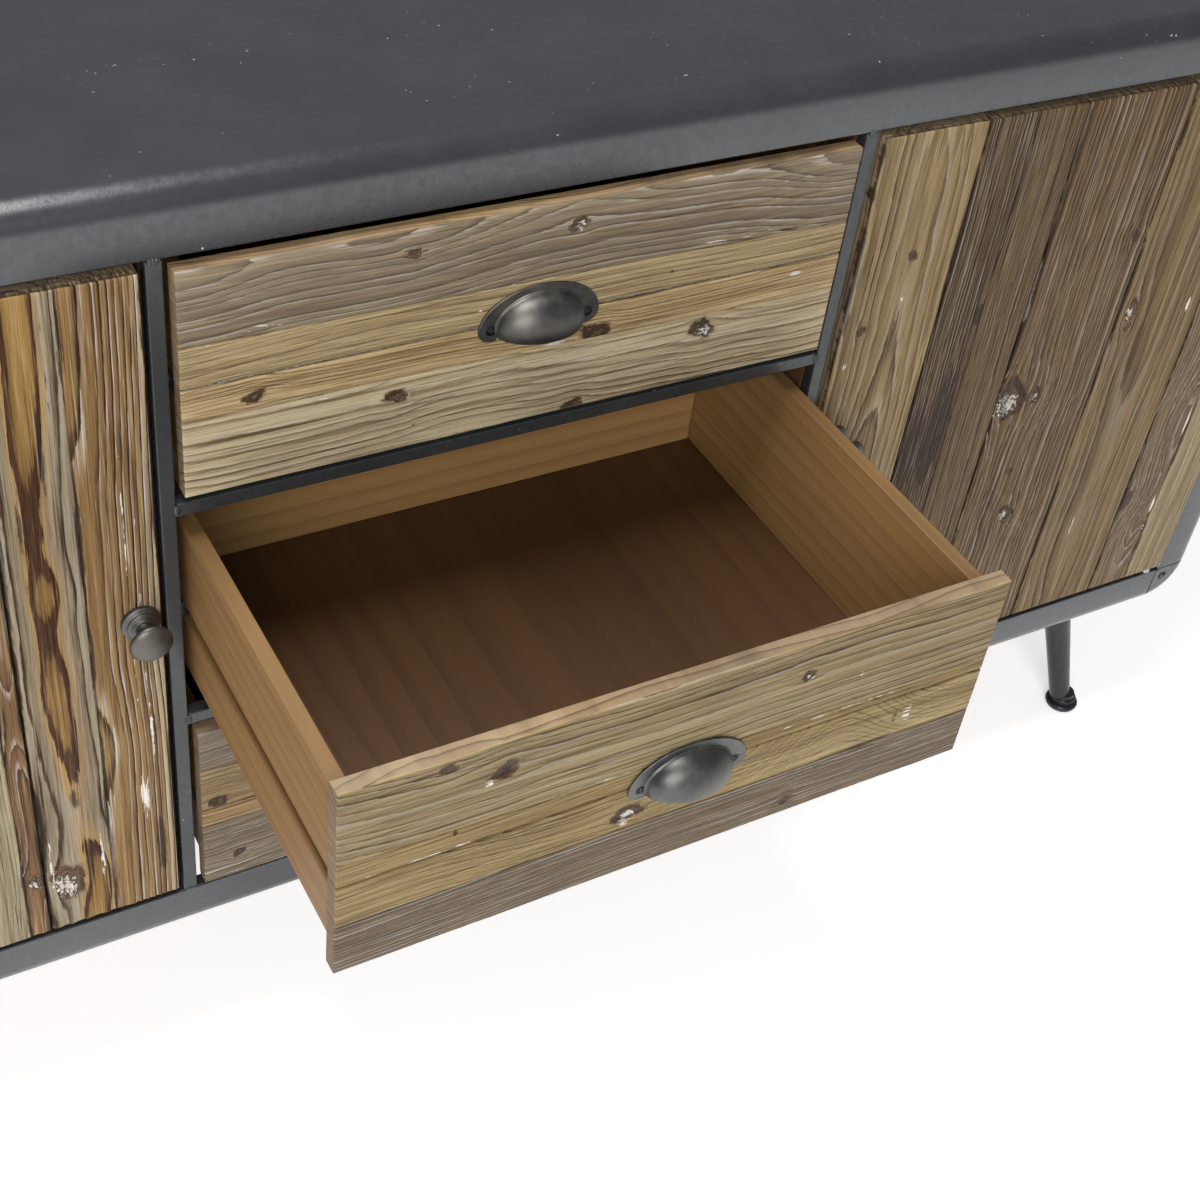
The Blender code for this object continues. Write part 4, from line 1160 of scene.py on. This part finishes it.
def aged_iron(name):
    finish = Finish(name, 0.36, metallic=0.9)
    place = finish.place()
    cloud = finish.noise(place, 70.0, 4.0)
    rub = finish.noise(place, 26.0, 2.0)
    grit = finish.noise(place, 1500.0, 2.0)
    dark = finish.mix(finish.step(cloud, 0.35, 0.70), paint(74, 75, 75), paint(95, 94, 91))
    warm = finish.mix(finish.step(rub, 0.50, 0.72, 0.0, 0.40), dark, paint(100, 92, 80))
    finish.colour(finish.mix(finish.step(grit, 0.55, 0.8, 0.0, 0.45), warm, paint(66, 65, 64)))
    finish.rough(finish.step(cloud, 0.25, 0.75, 0.34, 0.50))
    finish.relief(finish.math("ADD", grit, finish.math("MULTIPLY", cloud, 2.0)), 0.00012, 0.4)
    return finish.material


AGED_IRON = aged_iron("aged_iron")


def pull_plate(name, middle, half, body):
    """The arched back plate, open under the cup, with a chamfer all round."""
    arch = [
        (half * math.cos(math.radians(a)), PULL_ARCH * math.sin(math.radians(a)))
        for a in range(0, 181, 4)
    ]
    left = arc((-half + PULL_LOBE, 0), PULL_LOBE, 180, 270, 8)[1:]
    right = arc((half - PULL_LOBE, 0), PULL_LOBE, 270, 360, 8)[:-1]
    wide, tall = CUP_HALF_WIDTH - CUP_WALL, CUP_HEIGHT - CUP_WALL
    inner = [(-wide * math.cos(math.radians(a)), tall * math.sin(math.radians(a))) for a in range(0, 181, 6)]
    outline = arch + left + [(-wide, -PULL_LOBE)] + inner + [(wide, -PULL_LOBE)] + right
    count = len(outline)
    places = [(middle.x + x, middle.y, middle.z + z) for x, z in outline]
    places += [(middle.x + x, middle.y - PULL_PLATE, middle.z + z) for x, z in outline]
    faces = [tuple(range(count)), tuple(range(count, 2 * count))]
    faces += [(i, (i + 1) % count, (i + 1) % count + count, i + count) for i in range(count)]
    plate = made_piece(name, places, faces, AGED_IRON, body)
    return eased(plate, 0.0008, 2, 55)


def pull_cup(name, middle, depth, body):
    """The cup: an ellipsoid shell with its poles at the cup's ends, cut level below, flared at its foot."""
    turns, rises = 60, 36
    shells = []
    for wall in (0.0, CUP_WALL):
        places = []
        for i in range(turns + 1):
            a = math.pi * i / turns
            x, share = (CUP_HALF_WIDTH - wall) * math.cos(a), max(math.sin(a), 1e-4)
            tall, deep = (CUP_HEIGHT - wall) * share, (depth - wall) * share
            lowest = -math.asin(min(1.0, CUP_DROP / tall))
            for j in range(rises + 1):
                b = lowest + (math.pi / 2 - lowest) * j / rises
                y, z = -deep * math.cos(b), tall * math.sin(b)
                if wall == 0.0:
                    near = max(0.0, 1 - max(0.0, -y - PULL_PLATE) / 0.0016)
                    reach = math.hypot(x, z) or 1.0
                    x2, z2 = x + x / reach * 0.0012 * near**2, z + max(z, 0) / reach * 0.0012 * near**2
                else:
                    x2, z2 = x, z
                places.append((middle.x + x2, middle.y + y, middle.z + z2))
        shells.append(places)
    places = shells[0] + shells[1]
    inner, wide = len(shells[0]), rises + 1
    faces = []
    for i in range(turns):
        for j in range(rises):
            a = i * wide + j
            faces.append((a, a + 1, a + wide + 1, a + wide))
            faces.append((inner + a, inner + a + wide, inner + a + wide + 1, inner + a + 1))
        for j in (0, rises):
            a = i * wide + j
            faces.append((a, a + wide, inner + a + wide, inner + a))
    return made_piece(name, places, faces, AGED_IRON, body, 50)


for drawer in DRAWERS:
    low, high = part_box(drawer + "_pull")
    half = (high.x - low.x) / 2
    middle = Vector(((low.x + high.x) / 2, high.y, high.z - PULL_ARCH))
    plate = pull_plate(drawer + "_pull_plate", middle, half, drawer)
    cup = pull_cup(drawer + "_pull_cup", middle, high.y - low.y, drawer)
    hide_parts(drawer + "_pull")
    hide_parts(drawer + "_pull")
    for hand, side in (("left", -1), ("right", 1)):
        screw_place = middle + Vector((side * (half - PULL_LOBE), -PULL_PLATE + 0.0001, 0))
        phillips_head(
            f"{drawer}_pull_{hand}_screw", screw_place, OUT, 0.0040, BLACK_SCREW, drawer
        )

# ---------------------------------------------------------------- plank doors
# Each door is five wide planks of the same old fir, set edge to edge with open joints and held by
# two battens behind. The left door's middle planks are boldly figured, worn deep between the rings.

DARK_WHITE = {"lines": 1.0, "white": 0.65, "wash": 0.22}


RIGHT_DOOR = (
    Strip(
        41, ((0.0, 0.0), (0.0845, 0.0845)), (0.044, 0.031), 0.0060, (138, 119, 84), lines=0.75,
        white=0.40, wander=0.0025, wash=0.16, relief=0.00045, sink=-0.050,
        knots=((0.150, 0.016, 0.0032, 0.3), (0.095, 0.046, 0.0034, 0.6)),
        stains=((0.10, 0.011, 0.10, 0.0012, 0.62),),
        chalk=(
            (0.130, 0.046, 0.004, 0.003, 0.9), (0.178, 0.009, 0.005, 0.003, 0.8),
            (0.08, 0.075, 0.08, 0.006, 0.35)
        )
    ),
    Strip(
        42, ((0.0845, 0.0845), (0.1270, 0.1270)), (0.300, 0.020), 0.0031, (86, 67, 44), lines=1.0,
        white=0.45, wander=0.001, wash=0.14, relief=0.00055, grey=0.0,
        stains=(
            (0.16, 0.124, 0.012, 0.0040, 0.95), (0.260, 0.1145, 0.070, 0.0120, 1.0),
            (0.275, 0.0950, 0.060, 0.0110, 0.86), (0.17, 0.100, 0.05, 0.008, 0.45),
            (0.42, 0.10, 0.10, 0.010, 0.50)
        )
    ),
    Strip(
        43, ((0.1270, 0.1270), (0.1715, 0.1715)), (0.340, 0.020), 0.0029, (102, 82, 52), lines=0.80,
        white=0.30, wander=0.0015, wash=0.12, relief=0.00035,
        stains=((0.140, 0.148, 0.003, 0.0022, 0.8),)
    ),
    Strip(
        44, ((0.1715, 0.1715), (0.2725, 0.2725)), (0.420, 0.040), 0.0046, (104, 82, 52), lines=1.0,
        white=0.42, wander=0.0016, wash=0.14, relief=0.00042,
        knots=(
            (0.252, 0.187, 0.0125, 1.0), (0.254, 0.211, 0.0045, 1.0), (0.376, 0.221, 0.0058, 1.0),
            (0.12, 0.26, 0.003, 0.2)
        ),
        stains=(
            (0.12, 0.207, 0.16, 0.0085, 0.42), (0.329, 0.210, 0.005, 0.006, 0.75),
            (0.145, 0.245, 0.010, 0.010, 0.45), (0.133, 0.262, 0.006, 0.010, 0.45),
            (0.36, 0.205, 0.05, 0.010, 0.40)
        ),
        chalk=((0.270, 0.225, 0.008, 0.002, 0.6),)
    ),
    Strip(
        45, ((0.2725, 0.2725), (0.3625, 0.3625)), (0.313, 0.011), 0.0085, (119, 99, 67), lines=0.70,
        white=0.30, wander=0.002, wash=0.12, relief=0.00040, sink=0.030,
        knots=((0.192, 0.286, 0.0060, 1.0), (0.208, 0.287, 0.0030, 0.5)),
        stains=((0.192, 0.286, 0.014, 0.010, 0.45), (0.445, 0.284, 0.012, 0.010, 0.35)),
        chalk=((0.415, 0.308, 0.018, 0.0014, 0.85), (0.200, 0.348, 0.010, 0.003, 0.9))
    ),
    Strip(
        46, ((0.3625, 0.3625), (0.4100, 0.4070)), (0.400, 0.014), 0.0040, (113, 91, 63), lines=0.95,
        white=0.45, wander=0.006, wash=0.20, relief=0.00045, grey=0.2,
        knots=((0.405, 0.368, 0.0060, 0.6), (0.447, 0.403, 0.0050, 0.9)),
        stains=(
            (0.38, 0.368, 0.10, 0.006, 0.42), (0.47, 0.405, 0.05, 0.004, 0.7),
            (0.33, 0.408, 0.05, 0.0015, 0.7)
        ),
        chalk=((0.330, 0.405, 0.030, 0.0020, 0.9), (0.420, 0.404, 0.020, 0.0018, 0.9))
    ),
    Strip(
        47, ((0.4100, 0.4070), (0.4510, 0.4510)), (0.520, 0.030), 0.0036, (157, 143, 111), lines=0.55,
        white=0.25, wander=0.002, wash=0.12, relief=0.00028
    ),
)
LEFT_DOOR = (
    Strip(
        51, ((0.0, 0.0), (0.0455, 0.0455)), (-0.060, 0.030), 0.0042, (122, 102, 74), lines=0.8,
        white=0.4, wander=0.003, wash=0.15, relief=0.00042,
        knots=((0.10, 0.022, 0.006, 0.8), (0.40, 0.034, 0.004, 0.5))
    ),
    Strip(
        52, ((0.0455, 0.0455), (0.1355, 0.1355)), (0.088, 0.012), 0.0075, (128, 106, 76), lines=0.9,
        white=0.35, wander=0.005, wash=0.15, relief=0.00060,
        swells=((0.12, 0.016, 0.06), (0.36, 0.022, 0.08)), knots=((0.245, 0.118, 0.0065, 0.9),),
        sap=(0.040, (134, 124, 102))
    ),
    Strip(
        53, ((0.1355, 0.1355), (0.2250, 0.2250)), (0.280, 0.020), 0.0040, (108, 88, 64), **DARK_WHITE,
        wander=0.003, relief=0.00050, knots=((0.31, 0.170, 0.0070, 0.9),),
        stains=((0.18, 0.200, 0.09, 0.012, 0.5), (0.42, 0.150, 0.06, 0.008, 0.5))
    ),
    Strip(
        54, ((0.2250, 0.2250), (0.3150, 0.3150)), (0.262, 0.010), 0.0080, (124, 100, 68), lines=1.0,
        white=0.40, wander=0.006, wash=0.16, relief=0.00080, sap=(0.026, (136, 126, 104)),
        swells=((0.09, 0.016, 0.05), (0.27, 0.020, 0.07), (0.43, 0.014, 0.05)),
        knots=((0.20, 0.305, 0.0050, 0.7),)
    ),
    Strip(
        55, ((0.3150, 0.3150), (0.3465, 0.3465)), (0.200, 0.030), 0.0034, (151, 142, 116), lines=0.45,
        white=0.25, wander=0.002, wash=0.14, relief=0.00030
    ),
    Strip(
        56, ((0.3465, 0.3465), (0.3605, 0.3605)), (0.352, 0.003), 0.0036, (116, 88, 56), lines=1.0,
        white=0.60, wander=0.003, wash=0.20, relief=0.00090,
        swells=((0.10, 0.004, 0.05), (0.30, 0.005, 0.04)), knots=((0.455, 0.354, 0.0050, 0.9),)
    ),
    Strip(
        57, ((0.3605, 0.3605), (0.4062, 0.4062)), (0.3830, 0.0020), 0.0095, (153, 122, 69), lines=2.0,
        white=0.20, wander=0.0016, wash=0.16, relief=0.00110, sap=(0.0122, (150, 141, 121)),
        uneven=0.25,
        rise=(
            (0.0, 0.001), (0.06, 0.003), (0.11, 0.0062), (0.15, 0.0082), (0.175, 0.0088),
            (0.206, 0.0040), (0.232, 0.0082), (0.246, 0.0078), (0.285, 0.0038), (0.335, 0.0066),
            (0.362, 0.0090), (0.40, 0.0130), (0.43, 0.0092), (0.47, 0.0040), (0.515, 0.0020)
        ),
        drift=(
            (0.0, 0.3850), (0.10, 0.3825), (0.17, 0.3805), (0.206, 0.3832), (0.285, 0.3828),
            (0.362, 0.3858), (0.43, 0.3900), (0.515, 0.3925)
        ),
        knots=((0.463, 0.3765, 0.0100, 1.0),),
        stains=(
            (0.385, 0.386, 0.020, 0.006, 0.60), (0.10, 0.3905, 0.055, 0.0022, 0.75),
            (0.06, 0.397, 0.07, 0.0012, 0.6), (0.365, 0.3660, 0.05, 0.0014, 0.7),
            (0.150, 0.3740, 0.030, 0.0024, 0.70)
        ),
        chalk=(
            (0.440, 0.366, 0.050, 0.0018, 0.7), (0.445, 0.400, 0.045, 0.0020, 0.8),
            (0.472, 0.376, 0.020, 0.007, 0.7)
        )
    ),
    Strip(
        58, ((0.4062, 0.4062), (0.4510, 0.4510)), (0.4075, 0.0016), 0.0095, (132, 104, 64), lines=1.5,
        white=0.80, wander=0.0010, wash=0.18, relief=0.00085, sap=(0.0390, (172, 158, 130)),
        uneven=0.25, fine=(0.0170, 0.0037),
        rise=(
            (0.0, 0.0030), (0.06, 0.0045), (0.10, 0.0088), (0.14, 0.0125), (0.28, 0.0125),
            (0.31, 0.0088), (0.35, 0.0045), (0.385, 0.0088), (0.43, 0.0120), (0.515, 0.0120)
        ),
        splits=((0.12, 0.50, 0.4067, 0.0008),),
        stains=(
            (0.455, 0.441, 0.035, 0.0040, 0.95), (0.400, 0.436, 0.030, 0.0060, 0.5),
            (0.345, 0.4115, 0.035, 0.0025, 0.4)
        ),
        chalk=(
            (0.400, 0.432, 0.030, 0.0050, 0.80), (0.34, 0.440, 0.05, 0.0020, 0.7),
            (0.20, 0.4320, 0.20, 0.0008, 0.7), (0.22, 0.4385, 0.20, 0.0008, 0.7)
        )
    ),
)
OPEN_JOINTS = {"left": (0.0455, 0.1355, 0.2250, 0.3150, 0.3605), "right": (0.0845, 0.1715, 0.2725, 0.3625)}
PLANK_JOINT = 0.0009
DOWN = (0.0, 0.0, -1.0)
for hand, strips in (("left", LEFT_DOOR), ("right", RIGHT_DOOR)):
    low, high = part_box(hand + "_door_panel")
    for number, strip in enumerate(strips, 1):
        first, last = strip.edges
        if first[0] in OPEN_JOINTS[hand]:
            first = tuple(v + PLANK_JOINT for v in first)
        if last[0] in OPEN_JOINTS[hand]:
            last = tuple(v - PLANK_JOINT for v in last)
        strip.edges = (first, last)
        strip.joint = (0.15, 0.92)
        piece = fir_strip(
            f"{hand}_door_strip_{number}",
            strip,
            (low.x, low.y, high.z),
            DOWN,
            X_AXIS,
            OUT,
            high.z - low.z,
            high.y - low.y,
            BRUSHED_FIR,
            hand + "_door",
        )
        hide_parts(hand + "_door_panel")

# ---------------------------------------------------------------- battens, screws and hinge pins
# Two planed battens cross each door behind, each held by four black screws. Bright steel pins
# with a collar turn in the top lip and the bottom rail.

BATTEN_WOOD = planed_board("batten_fir", "X", 0.0085, (150, 118, 78), (112, 82, 50), 0.6, grey=0.3)
SCREW_INSETS = (0.055, 0.140, 0.225, 0.310)
for hand in ("left", "right"):
    for level in ("upper", "lower"):
        name = f"{hand}_door_{level}_batten"
        welded_edges(name, 0.0018, BATTEN_WOOD)
        low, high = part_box(name)
        for number, inset in enumerate(SCREW_INSETS, 1):
            spot_place = (
                low.x + inset, high.y - 0.0002, (low.z + high.z) / 2 + (0.008 if number % 2 else -0.008)
            )
            phillips_head(
                f"{name}_screw_{number}", spot_place, (0, 1, 0), 0.0038, BLACK_SCREW, hand + "_door",
            )


def bright_steel():
    finish = Finish("bright_pin_steel", 0.28, metallic=1.0)
    scratch = finish.noise(finish.stretched(finish.place(), (900.0, 900.0, 60.0)))
    finish.colour(finish.mix(finish.step(scratch, 0.3, 0.7), paint(176, 176, 178), paint(132, 132, 134)))
    finish.rough(finish.step(scratch, 0.3, 0.7, 0.22, 0.40))
    return finish.material


PIN_STEEL = bright_steel()
for hand in ("left", "right"):
    for level in ("top", "bottom"):
        welded_edges(f"{hand}_door_{level}_pin", 0.0002, PIN_STEEL)

# ---------------------------------------------------------------- door knobs
# A turned iron knob on a stepped rose: a narrow waist under a flattened mushroom head, in the same
# blackened and rubbed iron as the pulls.

for hand in ("left", "right"):
    low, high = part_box(hand + "_door_knob")
    place = ((low.x + high.x) / 2, high.y, (low.z + high.z) / 2)
    length, head = high.y - low.y, (high.x - low.x) / 2
    profile = [(0, length)]
    profile += [
        (head * math.sin(a), length * (0.800 + 0.200 * math.cos(a)))
        for a in np.linspace(0.12, 1.45, 14)
    ]
    profile += arc((head * 0.955, length * 0.795), head * 0.045, 20, -80, 5)
    profile += [(head * 0.90, length * 0.735), (head * 0.70, length * 0.655), (head * 0.50, length * 0.570)]
    profile += [(head * 0.41, length * 0.480), (head * 0.39, length * 0.400), (head * 0.42, length * 0.330)]
    profile += arc((head * 0.50, length * 0.285), head * 0.065, 60, -60, 5)
    profile += [(head * 0.58, length * 0.235)] + arc((head * 0.66, length * 0.185), head * 0.075, 60, -50, 5)
    profile += [(head * 0.80, length * 0.125)] + arc((head * 0.855, length * 0.070), head * 0.070, 60, -30, 6)
    profile += [(head * 0.925, 0), (0, 0)]
    knob = turned(hand + "_door_knob_turned", profile, place, OUT, AGED_IRON, hand + "_door", 56)
    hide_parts(hand + "_door_knob")

# ---------------------------------------------------------------- studio
# A pale floor, a broad soft lamp overhead and a softer one from the front left, in a pale room.
FLOOR_REACH = 40.0
FLOOR_GAP = 0.0005
FLOOR_GLOW = 0.50
ROOM_GLOW = 0.27


def pale_floor():
    finish = Finish("pale_floor", 0.9, specular=0.1)
    finish.colour(finish.mix(finish.noise(finish.place(), 3.0), paint(247, 247, 247), paint(250, 250, 250)))
    finish.shader.inputs["Emission Color"].default_value = (1, 1, 1, 1)
    finish.shader.inputs["Emission Strength"].default_value = FLOOR_GLOW
    return finish.material


floor_mesh = bpy.data.meshes.new("floor")
FLOOR_SIDES = ((-1, -1), (1, -1), (1, 1), (-1, 1))
floor_corners = [(x * FLOOR_REACH, y * FLOOR_REACH, -FLOOR_GAP) for x, y in FLOOR_SIDES]
floor_mesh.from_pydata(floor_corners, [], [(0, 1, 2, 3)])
floor = bpy.data.objects.new("floor", floor_mesh)
floor.data.materials.append(pale_floor())
bpy.context.scene.collection.objects.link(floor)
floor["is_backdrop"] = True

world = bpy.data.worlds.new("pale_room")
world.use_nodes = True
world.node_tree.nodes["Background"].inputs["Color"].default_value = (1.0, 1.0, 1.0, 1)
world.node_tree.nodes["Background"].inputs["Strength"].default_value = ROOM_GLOW
bpy.context.scene.world = world


def soft_lamp(name, place, aim, size, power):
    lamp = bpy.data.lights.new(name, "AREA")
    lamp.shape = "RECTANGLE"
    lamp.size, lamp.size_y = size
    lamp.energy = power
    holder = bpy.data.objects.new(name, lamp)
    holder.location = place
    holder.rotation_euler = (Vector(aim) - Vector(place)).to_track_quat("-Z", "Y").to_euler()
    bpy.context.scene.collection.objects.link(holder)


soft_lamp("overhead_lamp", (-0.45, 0.05, 2.6), (-0.35, 0.05, 0.4), (1.3, 0.7), 68)
soft_lamp("front_left_lamp", (-1.5, -3.0, 2.2), (0.1, 0.0, 0.45), (2.0, 1.8), 108)

# The lens stands where a person would lean over the drawers, a little left of the left upright.
lens = bpy.data.cameras.new("lens")
lens.lens = 54.79
lens.sensor_width = 36
camera = bpy.data.objects.new("camera", lens)
upright_low, upright_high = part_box("left_upright")
shelf_low, shelf_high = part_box("upper_drawer_rail")
camera_place = Vector((upright_high.x, upright_low.y, shelf_high.z)) + Vector((-0.2517, -0.8129, 0.7051))
right = Vector((0.8704, -0.4794, 0.1118))
up = Vector((0.2519, 0.6289, 0.7356))
back = right.cross(up)
camera.matrix_world = Matrix.Translation(camera_place) @ Matrix((right, up, back)).transposed().to_4x4()
bpy.context.scene.collection.objects.link(camera)
bpy.context.scene.camera = camera
bpy.context.scene.view_settings.view_transform = "Standard"

low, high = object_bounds()
